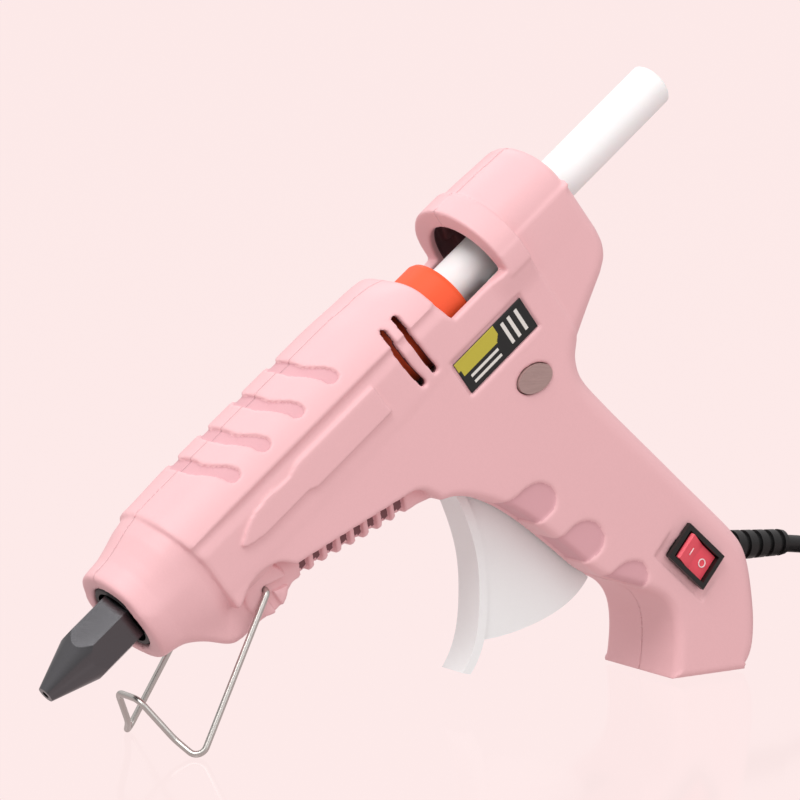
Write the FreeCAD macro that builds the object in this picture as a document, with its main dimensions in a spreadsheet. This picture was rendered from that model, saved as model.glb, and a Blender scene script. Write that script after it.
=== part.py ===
import FreeCAD, Part
import Sketcher
import math
import os
from FreeCAD import Vector, Rotation, Placement

# Trigger-fed hot-melt glue gun, standing on the base of its handle and on a
# folding wire stand.  Most pieces are drawn in the barrel's own frame: x runs
# back along the glue stick from the tip of the nozzle, z is square to it and
# y is across the gun (minus y is the gun's left side).  The barrel frame is
# then tilted nose down and set on the ground plane.

doc = FreeCAD.newDocument("GlueGun")
sheet = doc.addObject("Spreadsheet::Sheet", "Dimensions")

DIMS = [
    # overall placing of the barrel frame
    ("tilt_angle", 37.6), ("tip_x", -95.15), ("tip_z", 15.14),
    # casing
    ("side_half", 15.0), ("keel_half", 10.8), ("nose_half", 13.4), ("wall", 2.4),
    ("edge_bevel", 2.5),
    ("nose_front", 25.0), ("nose_rad", 12.4), ("nose_hole", 8.5), ("step_at", 42.6),
    ("nose_back_rad", 15.4), ("barrel_rad", 16.9), ("barrel_end", 125.5),
    ("lip_front", 143.8), ("lip_back", 150.6), ("lip_rad", 17.3), ("block_rad", 16.2),
    ("block_end", 170.8), ("rear_hole", 10.5), ("bay_bore", 12.0), ("guide_hole", 6.4),
    ("sleeve_hole", 10.3),
    ("post_rad", 3.4), ("pilot_rad", 1.32), ("clear_rad", 1.55), ("head_seat", 2.6),
    # melting line
    ("stick_rad", 5.6), ("stick_front", 58.0), ("stick_back", 211.4),
    ("hex_flats", 12.0), ("hex_front", 14.0), ("hex_back", 28.0), ("tip_rad", 2.0),
    ("tip_bore", 0.9), ("shank_rad", 4.0), ("shank_back", 37.0),
    ("ring_out", 8.4), ("ring_in", 7.1), ("ring_flange", 9.6),
    ("chamber_rad", 8.5), ("chamber_front", 30.0), ("chamber_back", 104.0),
    ("chamber_bore", 5.9), ("block_front", 40.0), ("block_back", 93.0),
    ("block_half", 7.2), ("block_low", 13.6), ("slot_half", 5.8),
    ("slot_low", 12.4), ("slot_top", 8.9),
    ("sleeve_rad", 10.0), ("sleeve_front", 99.0), ("sleeve_back", 134.0), ("sleeve_bore", 6.0),
    ("support_thick", 2.6), ("support_rad", 13.6), ("support_half", 12.4),
    # feed
    ("pivot_x", 108.5), ("pivot_z", -33.0), ("pin_rad", 1.5), ("arm_len", 20.0),
    ("arm_lean", 12.0), ("hub_rad", 3.3), ("trigger_wide", 8.6), ("web_wide", 7.0),
    ("arm_wide", 4.0), ("cheek_gap", 2.5), ("bar_half", 5.0), ("bar_low", 18.0),
    ("bar_top", 11.2), ("car_front", 107.5), ("car_mid", 143.0), ("car_back", 156.0),
    ("house_half", 8.0), ("house_top", 3.0), ("cam_x", 149.2), ("cam_z", -13.2),
    ("cam_rad", 5.0), ("cam_half", 3.5), ("cam_pin_rad", 1.25),
    # stand
    ("wire_rad", 0.75), ("lug_x", 51.7), ("lug_z", -14.7), ("lug_rad", 5.8),
    ("leg_in", 12.6), ("foot_out", 16.4), ("foot_x", 13.8), ("foot_z", -30.61),
    # switch
    ("bezel_long", 14.1), ("bezel_wide", 10.0), ("bezel_thick", 1.2), ("switch_deep", 10.2),
    ("neck_long", 12.6), ("neck_wide", 8.6), ("rocker_long", 11.0), ("rocker_wide", 7.0),
    # cord
    ("cord_rad", 2.2), ("boot_len", 22.0), ("boot_rad", 3.7), ("hank_rad", 15.0), ("hank_run", 46.0),
    ("coil_wide", 8.8), ("coil_high", 17.6), ("pin_len", 19.0), ("pin_gap", 18.6),
    ("plug_pin_rad", 2.0),
]
VAL = {}
sheet.set("A1", "name")
sheet.set("B1", "value (mm, degrees)")
for i, (name, value) in enumerate(DIMS):
    row = i + 2
    sheet.set("A%d" % row, name)
    sheet.set("B%d" % row, str(value))
    sheet.setAlias("B%d" % row, name)
    VAL[name] = float(value)
doc.recompute()


def num(expr):
    """The value of a size given as a number or as an expression on the sheet."""
    if isinstance(expr, (int, float)):
        return float(expr)
    return float(sheet.evalExpression(expr.replace("Dimensions.", "")))


def bind(obj, prop, expr):
    if isinstance(expr, (int, float)):
        setattr(obj, prop, expr)
    else:
        obj.setExpression(prop, expr)


def dim(text):
    """Turn 'wall + 2' into an expression that points at the sheet."""
    if isinstance(text, (int, float)):
        return text
    out, word = "", ""
    for ch in text + " ":
        if ch.isalpha() or ch == "_" or (word and ch.isdigit()):
            word += ch
        else:
            if word:
                out += ("Dimensions." + word) if word in VAL else word
                word = ""
            out += ch
    return out.strip()


TILT = VAL["tilt_angle"]
BARREL = Placement(Vector(VAL["tip_x"], 0, VAL["tip_z"]), Rotation(Vector(0, 1, 0), -TILT))
NODES = []


def node(obj, label, placement=BARREL):
    if any("Placement" in str(path) for path, e in obj.ExpressionEngine):
        obj = group(label + "_held", [obj])
    obj.Label = label
    obj.Placement = placement.multiply(obj.Placement)
    NODES.append(obj)
    return obj


def new_body(name):
    return doc.addObject("PartDesign::Body", name)


def plane(body, role):
    return [f for f in body.Origin.OriginFeatures if f.Role == role][0]


def poly_sketch(body, name, role, points, offset=None):
    """A closed polygon; a coordinate given as text is held to the sheet."""
    sk = body.newObject("Sketcher::SketchObject", name)
    sk.AttachmentSupport = (plane(body, role), [""])
    sk.MapMode = "FlatFace"
    if offset:
        sk.AttachmentOffset = Placement(Vector(0, 0, offset), Rotation())
    pts = [(num(a), num(b)) for a, b in points]
    n = len(pts)
    geo = [Part.LineSegment(Vector(pts[i][0], pts[i][1], 0),
                            Vector(pts[(i + 1) % n][0], pts[(i + 1) % n][1], 0)) for i in range(n)]
    sk.addGeometry(geo, False)
    sk.addConstraint([Sketcher.Constraint("Coincident", i, 2, (i + 1) % n, 1) for i in range(n)])
    for i, (a, b) in enumerate(points):
        for kind, c, v in (("DistanceX", a, pts[i][0]), ("DistanceY", b, pts[i][1])):
            if isinstance(c, str) and abs(v) > 1e-6:
                k = sk.addConstraint(Sketcher.Constraint(kind, i, 1, v))
                sk.setExpression("Constraints[%d]" % k, dim(c))
    return sk


def curve_sketch(body, name, role, segments):
    """A closed outline of straight lines and splines through given points."""
    sk = body.newObject("Sketcher::SketchObject", name)
    sk.AttachmentSupport = (plane(body, role), [""])
    sk.MapMode = "FlatFace"
    for seg in segments:
        pts = [Vector(a, b, 0) for a, b in seg]
        if len(pts) == 2:
            sk.addGeometry(Part.LineSegment(pts[0], pts[1]), False)
        else:
            c = Part.BSplineCurve()
            c.interpolate(pts)
            sk.addGeometry(c, False)
    return sk


def pad(body, name, sk, length, both=True, reverse=False):
    p = body.newObject("PartDesign::Pad", name)
    p.Profile = sk
    bind(p, "Length", dim(length))
    p.Midplane = both
    p.Reversed = reverse
    return p


def turned(name, points):
    """A solid turned about the barrel axis from points (x, radius)."""
    b = new_body(name)
    sk = poly_sketch(b, name + "_profile", "XZ_Plane", points)
    r = b.newObject("PartDesign::Revolution", name + "_turn")
    r.Profile = sk
    r.ReferenceAxis = (sk, ["H_Axis"])
    r.Angle = 360
    return b


def plate(name, points, thick, role="XZ_Plane"):
    """A flat plate cut to a polygon in the (x, z) plane, centred on y = 0."""
    b = new_body(name)
    sk = poly_sketch(b, name + "_outline", role, points)
    pad(b, name + "_pad", sk, thick)
    return b


def box(name, x0, x1, y0, y1, z0, z1):
    o = doc.addObject("Part::Box", name)
    v = [num(k) for k in (x0, x1, y0, y1, z0, z1)]
    for prop, a, c in (("Length", x0, x1), ("Width", y0, y1), ("Height", z0, z1)):
        bind(o, prop, dim("(%s) - (%s)" % (c, a)))
    o.Placement = Placement(Vector(v[0], v[2], v[4]), Rotation())
    for prop, e in (("Placement.Base.x", x0), ("Placement.Base.y", y0), ("Placement.Base.z", z0)):
        if isinstance(e, str):
            o.setExpression(prop, dim(e))
    return o


def cyl(name, rad, length, base, axis):
    o = doc.addObject("Part::Cylinder", name)
    bind(o, "Radius", dim(rad))
    bind(o, "Height", dim(length))
    o.Placement = Placement(Vector(*[num(k) for k in base]),
                            Rotation(Vector(0, 0, 1), Vector(*axis)))
    for prop, e in zip(("Placement.Base.x", "Placement.Base.y", "Placement.Base.z"), base):
        if isinstance(e, str):
            o.setExpression(prop, dim(e))
    return o


def cone(name, r1, r2, length, base, axis):
    o = doc.addObject("Part::Cone", name)
    bind(o, "Radius1", dim(r1))
    bind(o, "Radius2", dim(r2))
    bind(o, "Height", dim(length))
    o.Placement = Placement(Vector(*[num(k) for k in base]),
                            Rotation(Vector(0, 0, 1), Vector(*axis)))
    return o


def cut(name, a, b):
    o = doc.addObject("Part::Cut", name)
    o.Base = a
    o.Tool = b
    return o


def common(name, a, b):
    o = doc.addObject("Part::Common", name)
    o.Base = a
    o.Tool = b
    return o


def fuse(name, parts):
    if len(parts) == 1:
        return parts[0]
    o = doc.addObject("Part::MultiFuse", name)
    o.Shapes = parts
    return o


def group(name, parts):
    o = doc.addObject("Part::Compound", name)
    o.Links = parts
    return o


def rounded_wire(points, radii=None, share=0.45):
    """Straight runs joined by tangent arcs, each as large as its runs allow."""
    P = [Vector(*p) for p in points]
    edges, out, last = [], [], P[0]
    for i in range(1, len(P) - 1):
        a, b, c = P[i - 1], P[i], P[i + 1]
        d1, d2 = (b - a), (c - b)
        l1, l2 = d1.Length, d2.Length
        d1.normalize()
        d2.normalize()
        turn = d1.getAngle(d2)
        if turn < 1e-4:
            raise ValueError("points in a line at %d" % i)
        t = share * min(l1, l2)
        rad = t / math.tan(turn / 2)
        if radii and radii.get(i):
            rad = min(rad, radii[i])
            t = rad * math.tan(turn / 2)
        s, e = b - d1 * t, b + d2 * t
        n = d1.cross(d2)
        n.normalize()
        toc = n.cross(d1)
        centre = s + toc * rad
        mid_dir = (b - centre)
        mid_dir.normalize()
        m = centre + mid_dir * rad
        if (s - last).Length > 1e-6:
            edges.append(Part.LineSegment(last, s).toShape())
        edges.append(Part.Arc(s, m, e).toShape())
        out.append((i, round(rad, 2), round(math.degrees(turn), 1)))
        last = e
    edges.append(Part.LineSegment(last, P[-1]).toShape())
    return Part.Wire(edges), out


def tube(name, points, rad, radii=None, share=0.45, report=False):
    wire, arcs = rounded_wire(points, radii, share)
    spine = doc.addObject("Part::Feature", name + "_path")
    spine.Shape = wire
    ring = doc.addObject("Part::Circle", name + "_ring")
    bind(ring, "Radius", dim(rad))
    d = Vector(*points[1]) - Vector(*points[0])
    ring.Placement = Placement(Vector(*points[0]), Rotation(Vector(0, 0, 1), d))
    sw = doc.addObject("Part::Sweep", name)
    sw.Sections = [ring]
    sw.Spine = (spine, ["Edge%d" % (k + 1) for k in range(len(wire.Edges))])
    sw.Solid = True
    sw.Frenet = False
    if report:
        print(name, "length %.1f" % wire.Length, "arcs", arcs)
    return sw, wire.Length


# ---------------------------------------------------------------- casing ----
FRONT_GRIP = [(98.3, -30.2), (102.6, -32.9), (107.2, -38.3), (111.8, -46.0), (115.2, -55.0),
              (118.1, -65.4), (121.0, -76.0), (126.2, -84.2), (130.5, -91.0), (131.9, -95.6),
              (131.3, -100.2), (128.6, -105.0), (124.6, -109.6), (121.5, -112.67)]
BACK_GRIP = [(139.2, -126.30), (141.6, -126.15), (144.4, -124.9), (147.4, -122.2), (151.4, -116.8), (156.2, -108.2),
             (158.6, -101.9), (158.4, -96.3), (156.8, -88.0), (154.7, -77.7), (152.3, -65.6),
             (150.3, -55.6), (148.4, -45.7), (147.1, -36.5), (148.5, -31.4), (151.4, -28.3)]
BLOCK_LOW = [(166.0, -19.6), (169.0, -17.0), (170.8, -13.6), (171.3, -9.5)]
LUG_EDGE = [(43.0, -12.6), (45.3, -12.2), (47.4, -10.3), (50.0, -9.1), (54.0, -8.9), (57.4, -10.5), (60.4, -14.4)]
SIDE = [
    [(43.0, 6.0), (43.0, -12.6)],
    LUG_EDGE,
    [(60.4, -14.4), (94.2, -23.1)],
    [(94.2, -23.1), (98.3, -30.2)],
    FRONT_GRIP,
    [(121.5, -112.67), (139.2, -126.30)],
    BACK_GRIP,
    [(151.4, -28.3), (166.0, -19.6)],
    BLOCK_LOW,
    [(171.3, -9.5), (170.8, 6.0)],
    [(170.8, 6.0), (144.6, 6.0)],
    [(144.6, 6.0), (144.6, 0.5)],
    [(144.6, 0.5), (127.0, 0.5)],
    [(127.0, 0.5), (124.0, 6.0)],
    [(124.0, 6.0), (43.0, 6.0)],
]
KEEL = [(26.2, -8.0), (30.0, -9.8), (33.6, -13.6), (37.4, -18.8), (40.4, -20.4), (46.0, -20.5),
        (51.7, -21.2), (56.2, -20.0), (58.6, -19.3), (67.0, -21.2), (78.1, -24.6), (89.7, -27.7),
        (94.5, -28.8), (98.6, -30.4), (103.0, -33.3), (108.0, -30.0), (112.0, -18.0), (112.0, 2.0), (26.2, 2.0)]

side = new_body("side_form")
sk = curve_sketch(side, "side_outline", "XZ_Plane", SIDE)
side_pad = pad(side, "side_pad", sk, "2 * side_half")
doc.recompute()
# bevel the long edges of the handle and of the rear block
half = VAL["side_half"]
picked = []
for i, e in enumerate(side_pad.Shape.Edges):
    pts = [e.valueAt(e.FirstParameter + (e.LastParameter - e.FirstParameter) * k / 4.0) for k in range(5)]
    if not all(abs(abs(p.y) - half) < 1e-4 for p in pts):
        continue
    mid = pts[2]
    if mid.z < -28.5 or (mid.x > 150.0 and mid.z < 5.0) :
        picked.append("Edge%d" % (i + 1))
rnd = side.newObject("PartDesign::Chamfer", "side_bevel")
rnd.Base = (side_pad, picked)
rnd.setExpression("Size", "Dimensions.edge_bevel")

keel = plate("keel_form", KEEL, "2 * keel_half")
nose_turn = turned("nose_turn", [("nose_front", 0), ("nose_front", "nose_rad - 0.9"), ("nose_front + 0.9", "nose_rad"),
                                 (30.0, "nose_rad + 0.3"), (33.5, "nose_rad + 1.1"), (37.5, "nose_rad + 2.1"),
                                 ("step_at", "nose_back_rad"), ("step_at + 2", "nose_back_rad"), ("step_at + 2", 0)])
nose = common("nose_form", nose_turn, box("nose_clip", 20, 50, "-nose_half", "nose_half", -20, 20))
barrel_turn = turned("barrel_turn", [("step_at", 0), ("step_at", "barrel_rad - 0.8"), ("step_at + 1.4", "barrel_rad - 0.1"),
                                     (72.0, "barrel_rad + 0.2"), (101.0, "barrel_rad"), (110.0, "barrel_rad - 0.6"),
                                     (116.0, "barrel_rad - 1.6"), (120.5, "barrel_rad - 2.7"), (123.5, "barrel_rad - 3.9"),
                                     ("barrel_end", "barrel_rad - 5.4"), ("barrel_end", 0)])
barrel = common("barrel_form", barrel_turn, box("barrel_clip", 40, 130, "-side_half", "side_half", -20, 20))
ring = turned("ring_form", [("lip_front", 0), ("lip_front", "lip_rad - 0.9"), ("lip_front + 0.9", "lip_rad"),
                            ("lip_back - 0.5", "lip_rad"), ("lip_back", "block_rad"), (160.0, "block_rad - 0.2"),
                            ("block_end - 2", "block_rad - 0.8"), ("block_end", "block_rad - 2.8"), ("block_end", 0)])
lug = cyl("lug_form", "lug_rad", "2 * (keel_half + 0.7)", ("lug_x", "-keel_half - 0.7", "lug_z"), (0, 1, 0))
outer = fuse("casing_outer", [side, keel, nose, barrel, ring, lug])

# hollow of the casing
SIDE_IN = [(45.4, 3.6), (45.4, -9.0), (47.5, -7.4), (50.5, -6.6), (54.5, -6.4), (58.6, -8.6), (62.2, -12.3), (93.0, -19.6),
           (96.4, -21.4), (101.0, -28.6), (104.4, -31.2), (109.2, -37.0), (113.9, -45.0), (117.5, -54.3), (120.4, -64.8),
           (123.1, -74.8), (128.1, -82.6), (132.6, -89.8), (134.3, -95.6), (133.6, -101.2), (130.6, -106.4), (126.0, -113.1),
           (139.8, -123.73), (142.6, -122.9), (145.2, -120.9), (149.3, -115.3), (154.0, -107.1), (156.2, -101.6),
           (156.0, -96.5), (154.4, -88.4), (152.3, -78.1), (149.9, -66.1), (147.9, -56.0), (146.0, -46.0), (144.7, -36.6),
           (146.3, -30.4), (150.0, -26.3), (164.6, -17.6), (167.0, -15.6), (168.4, -13.0), (168.9, -9.4), (168.6, 3.6)]
KEEL_IN = [(29.5, 0), (29.5, -7.3), (31.6, -8.2), (35.5, -12.6), (39.0, -17.0), (41.2, -18.1), (46.4, -18.2), (51.7, -18.8),
           (56.0, -17.7), (58.4, -17.0), (66.6, -18.9), (77.5, -22.3), (89.1, -25.4), (94.0, -26.5), (98.0, -28.0),
           (101.5, -30.0), (106.0, -26.0), (110.0, -16.0), (110.0, 0)]
side_in = plate("side_hollow", SIDE_IN, "2 * (side_half - wall)")
keel_in = plate("keel_hollow", KEEL_IN, "2 * (keel_half - wall)")
nose_in_t = turned("nose_hollow_turn", [("nose_front + 2.6", 0), ("nose_front + 2.6", 10.0), ("step_at - 1", "nose_back_rad - 2.9"),
                                        ("step_at + 3", "nose_back_rad - 2.4"), ("step_at + 3", 0)])
nose_in = common("nose_hollow", nose_in_t, box("nose_in_clip", 20, 50, "-nose_half + 2.2", "nose_half - 2.2", -20, 20))
barrel_in_t = turned("barrel_hollow_turn", [("step_at + 2", 0), ("step_at + 2", "barrel_rad - 3.0"), (72.0, "barrel_rad - 2.3"),
                                            (101.0, "barrel_rad - 2.5"), (110.0, "barrel_rad - 3.1"), (116.0, "barrel_rad - 4.1"),
                                            (123.2, "barrel_rad - 6.3"), (123.2, 0)])
barrel_in = common("barrel_hollow", barrel_in_t, box("barrel_in_clip", 40, 130, "-side_half + wall", "side_half - wall", -20, 20))
bore_a = cyl("bay_bore_cut", "bay_bore", "158 - lip_front + 2", ("lip_front - 2", 0, 0), (1, 0, 0))
bore_b = cyl("rear_bore_cut", "rear_hole", 16, (157.0, 0, 0), (1, 0, 0))
nose_hole = cyl("nose_hole_cut", "nose_hole", 6, ("nose_front - 1", 0, 0), (1, 0, 0))
sleeve_hole = cyl("sleeve_hole_cut", "sleeve_hole", 8, (120.0, 0, 0), (1, 0, 0))
hollow_all = fuse("casing_hollow_all", [side_in, keel_in, nose_in, barrel_in, bore_a, bore_b, nose_hole, sleeve_hole])

# what stays standing in the hollow: screw posts, pivot bosses, stick guide,
# seats of the two chamber supports, the lug's cheeks and the switch frame
SCREWS = [(66.5, -17.9), (96.0, -24.6), (127.0, -28.2), (152.0, -22.9), (137.0, -48.0), (138.0, -114.0)]
stay = []
for k, (a, b) in enumerate(SCREWS):
    stay.append(cyl("post_%d" % (k + 1), "post_rad", "2 * side_half", (a, "-side_half", b), (0, 1, 0)))
for k, sgn in enumerate((-1, 1)):
    stay.append(box("pivot_boss_%d" % k, "pivot_x - 3.4", "pivot_x + 3.4",
                    *( ("-side_half + 1", "-5.3") if sgn < 0 else ("5.3", "side_half - 1")), "pivot_z - 3.4", "pivot_z + 3.4"))
BOOT_TILT = 3.0
BOOT = Placement(Vector(VAL["tip_x"] + 188.6, 0, 29.0), Rotation(Vector(0, 1, 0), BOOT_TILT))
CL = BARREL.inverse().multiply(BOOT)
cl_at = CL.multVec(Vector(-12.0, 0, 0))
CLAMP = Placement(Vector(cl_at.x, 0, cl_at.z), CL.Rotation)
CLAMP_AT = [CLAMP.multVec(Vector(0, 0, q)) for q in (-4.9, 4.9)]
for k, q in enumerate(CLAMP_AT):
    stay.append(cyl("clamp_post_%d" % k, 2.3, "side_half", (q.x, 0, q.z), (0, 1, 0)))
guide_slab = box("guide_slab", 158.0, 161.0, "-side_half + 1", "side_half - 1", -9.0, 14.0)
guide_bore = cyl("guide_bore", "guide_hole", 6, (156.5, 0, 0), (1, 0, 0))
stay.append(cut("stick_guide", guide_slab, guide_bore))
SUPPORTS = (48.0, 88.0)
for k, xs in enumerate(SUPPORTS):
    for j, x0 in enumerate((xs - 1.7, xs + VAL["support_thick"] + 0.2)):
        slab = box("seat_slab_%d%d" % (k, j), x0, x0 + 1.5, "-side_half + 1", "side_half - 1", -30, 20)
        hole = cyl("seat_hole_%d%d" % (k, j), 12.2, 4, (x0 - 1, 0, 0), (1, 0, 0))
        low = box("seat_low_%d%d" % (k, j), x0 - 1, x0 + 3, "-8.2", "8.2", -16.2, 0)
        stay.append(cut("seat_%d%d" % (k, j), slab, fuse("seat_open_%d%d" % (k, j), [hole, low])))
lug_in = cyl("lug_core", 3.0, "2 * keel_half", ("lug_x", "-keel_half", "lug_z"), (0, 1, 0))
lug_gap = box("lug_core_gap", "lug_x - 4", "lug_x + 4", -7.6, 7.6, "lug_z - 4", "lug_z + 4")
stay.append(cut("lug_cheeks", lug_in, lug_gap))
hollow = cut("casing_hollow", hollow_all, fuse("hollow_stays", stay))
casing = cut("casing_open", outer, hollow)

# holes that go through the casing wherever they pass
TRIG_SLOT = [(95.6, -26.6), (104.2, -26.6), (114.2, -37.0), (120.8, -55.0), (124.6, -70.0), (131.0, -86.0),
             (126.0, -88.5), (116.0, -76.0), (108.0, -52.0), (100.0, -38.0), (93.0, -36.0)]
tools = [plate("trigger_slot", TRIG_SLOT, "trigger_wide + 1.0")]
tools.append(cyl("pivot_hole", "pin_rad + 0.02", "2 * side_half - 4.6", ("pivot_x", "-side_half + 2.3", "pivot_z"), (0, 1, 0)))
for k, sgn in enumerate((-1, 1)):
    y0 = VAL["keel_half"] - 3.6
    tools.append(cyl("lug_hole_%d" % k, "wire_rad + 0.06", 6.0,
                     ("lug_x", y0 if sgn > 0 else -y0 - 6.0, "lug_z"), (0, 1, 0)))
for k, q in enumerate(CLAMP_AT):
    tools.append(cyl("clamp_pilot_%d" % k, 1.02, 10.6, (q.x, -0.5, q.z), (0, 1, 0)))
# cooling slots through both sides of the barrel
for k, u0 in enumerate((111.3, 115.2)):
    for j, (y0, y1) in enumerate(((-17.0, -9.6), (9.6, 17.0))):
        tools.append(box("vent_%d%d" % (k, j), u0 - 0.8, u0 + 0.8, y0, y1, -5.5, 12.6))
# seat of the label, indicator window and switch in the left side
tools.append(box("label_seat", 119.9, 144.0, "-side_half - 1", "-side_half + 0.6", -16.4, -6.9))
LENS_AT = Placement(Vector(134.9, 0, -25.0), Rotation(Vector(0, 1, 0), 17.0))


def oval(name, a, b, y0, y1):
    body = new_body(name)
    s = body.newObject("Sketcher::SketchObject", name + "_outline")
    s.AttachmentSupport = (plane(body, "XZ_Plane"), [""])
    s.MapMode = "FlatFace"
    s.AttachmentOffset = Placement(Vector(0, 0, -y0), Rotation())
    s.addGeometry(Part.Ellipse(Vector(0, 0, 0), a, b), False)
    pad(body, name + "_pad", s, abs(y1 - y0), both=False, reverse=True)
    body.Placement = LENS_AT
    return body


tools.append(oval("window_hole", 5.05, 3.3, -16.5, -11.0))
ang = math.degrees(math.atan2(-13.85, 2.85))
SWITCH_AT = Placement(Vector(144.2, -VAL["side_half"], -91.3), Rotation(Vector(0, 1, 0), -ang))
sw_hole = box("switch_hole", "-neck_long / 2 - 0.1", "neck_long / 2 + 0.1", -2, 8, "-neck_wide / 2 - 0.1", "neck_wide / 2 + 0.1")
sw_hole.setExpression("Placement.Base.x", None)
sw_hole.setExpression("Placement.Base.y", None)
sw_hole.setExpression("Placement.Base.z", None)
sw_hole.Placement = SWITCH_AT.multiply(Placement(Vector(-VAL["neck_long"] / 2 - 0.1, -2, -VAL["neck_wide"] / 2 - 0.1), Rotation()))
tools.append(sw_hole)
# cord entry in the back of the handle, along the strain relief
ENTRY = BARREL.inverse().multVec(Vector(VAL["tip_x"] + 188.6, 0, 29.0))
DIRX = CL.Rotation.multVec(Vector(1, 0, 0))
e0 = ENTRY - DIRX * 9.0
tools.append(cyl("cord_entry", 3.25, 16.0, (e0.x, 0, e0.z), (DIRX.x, 0, DIRX.z)))
cutters = fuse("casing_cutters", tools)
casing2 = cut("casing_both", casing, cutters)

# the two halves, with pilot holes on the left and seats for the heads on the right
left_box = box("left_half", -5, 185, -20, 0, -140, 25)
right_box = box("right_half", -5, 185, 0, 20, -140, 25)
pilots = fuse("pilots", [cyl("pilot_%d" % k, "pilot_rad", 11.2, (a, -11.0, b), (0, 1, 0)) for k, (a, b) in enumerate(SCREWS)])
head_y = {0: 8.0, 1: 8.0}
seats = []
for k, (a, b) in enumerate(SCREWS):
    yh = head_y.get(k, 12.2)
    seats.append(cyl("clear_%d" % k, "clear_rad", 20.0, (a, -0.5, b), (0, 1, 0)))
    seats.append(cyl("seat_%d" % k, "head_seat", 9.0, (a, yh, b), (0, 1, 0)))
left = node(cut("left_shell_cut", common("left_half_form", casing2, left_box), pilots), "left_shell")
right = node(cut("right_shell_cut", common("right_half_form", casing2, right_box), fuse("right_seats", seats)), "right_shell")

screws = []
for k, (a, b) in enumerate(SCREWS):
    yh = head_y.get(k, 12.2)
    sh = cyl("screw_shank_%d" % k, "pilot_rad - 0.02", yh + 9.0, (a, -9.0, b), (0, 1, 0))
    hd = cyl("screw_head_%d" % k, "head_seat - 0.3", 1.8, (a, yh, b), (0, 1, 0))
    slot1 = box("screw_slot_%d" % k, a - 1.6, a + 1.6, yh + 1.1, yh + 2.5, b - 0.3, b + 0.3)
    slot2 = box("screw_slot2_%d" % k, a - 0.3, a + 0.3, yh + 1.1, yh + 2.5, b - 1.6, b + 1.6)
    screws.append(cut("screw_%d" % k, fuse("screw_blank_%d" % k, [sh, hd]), fuse("screw_cross_%d" % k, [slot1, slot2])))
node(group("screw_group", screws), "casing_screws")

# ---------------------------------------------------------- melting line ----
hexr = VAL["hex_flats"] / 2 / math.cos(math.pi / 6)
hexb = new_body("nozzle_hex")
sk = poly_sketch(hexb, "hex_outline", "YZ_Plane",
                 [(hexr * math.cos(math.radians(60 * k + 30)), hexr * math.sin(math.radians(60 * k + 30))) for k in range(6)])
pad(hexb, "hex_pad", sk, "hex_back", both=False)
noz_turn = turned("nozzle_turn", [(0, "tip_bore"), (0, "tip_rad"), ("hex_front", "hex_flats / 2 + 1.0"), ("hex_back", "hex_flats / 2 + 1.0"),
                                  ("hex_back", "shank_rad"), ("shank_back", "shank_rad"), ("shank_back", 2.0), (6.0, 2.0)])
hex_zone = fuse("hex_zone", [hexb, cyl("shank_zone", "shank_rad + 1", 12, ("hex_back - 1", 0, 0), (1, 0, 0))])
node(common("nozzle_form", noz_turn, hex_zone), "nozzle")

node(turned("nose_ring", [("nose_front - 0.3", "ring_in"), ("nose_front - 0.3", "ring_out - 0.3"), ("nose_front", "ring_out"),
                          ("nose_front + 2.7", "ring_out"), ("nose_front + 2.7", "ring_flange"),
                          ("nose_front + 4.4", "ring_flange"), ("nose_front + 4.4", "ring_in")]), "nozzle_insulating_ring")

ch_turn = turned("chamber_turn", [("chamber_front", "shank_rad + 0.03"), ("chamber_front", "chamber_rad - 1.0"), ("chamber_front + 1", "chamber_rad"),
                                  ("chamber_back", "chamber_rad"), ("chamber_back", "chamber_bore"), (48.0, "chamber_bore"),
                                  (44.0, 2.2), ("shank_back + 1", 2.2), ("shank_back + 1", "shank_rad + 0.03")])
ch_block = box("chamber_block", "block_front", "block_back", "-block_half", "block_half", "-block_low", -5.0)
ch_clear = cyl("chamber_clear", "chamber_rad - 0.6", "block_back - block_front + 4", ("block_front - 2", 0, 0), (1, 0, 0))
ch_slot = box("chamber_slot", "block_front + 4", "block_back + 2", "-slot_half", "slot_half", "-slot_low", "-slot_top")
node(cut("chamber_form", fuse("chamber_blank", [ch_turn, cut("chamber_saddle", ch_block, ch_clear)]), ch_slot), "melt_chamber")

x0, x1 = "block_front + 5", "block_back - 4"
wrap_o = box("wrap_outer", x0, x1, "-slot_half + 0.1", "slot_half - 0.1", "-slot_low + 0.05", "-slot_top - 0.05")
wrap_i = box("wrap_inner", "block_front + 3", "block_back", "-slot_half + 0.45", "slot_half - 0.45", "-slot_low + 0.35", "-slot_top - 0.35")
node(cut("heater_wrap", wrap_o, wrap_i), "heater_insulation")
node(group("electrode_pair", [
    box("electrode_low", "block_front + 5.5", "block_back + 1.6", "-slot_half + 0.7", "slot_half - 0.7", "-slot_low + 0.40", "-slot_low + 0.80"),
    box("electrode_top", "block_front + 5.5", "block_back + 1.6", "-slot_half + 0.7", "slot_half - 0.7", "-slot_top - 0.80", "-slot_top - 0.40")]),
    "heater_electrodes")
node(box("ptc_block", "block_front + 6.5", "block_back - 6", "-slot_half + 0.9", "slot_half - 0.9", "-slot_low + 0.85", "-slot_top - 0.85"), "ptc_heater")

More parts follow.
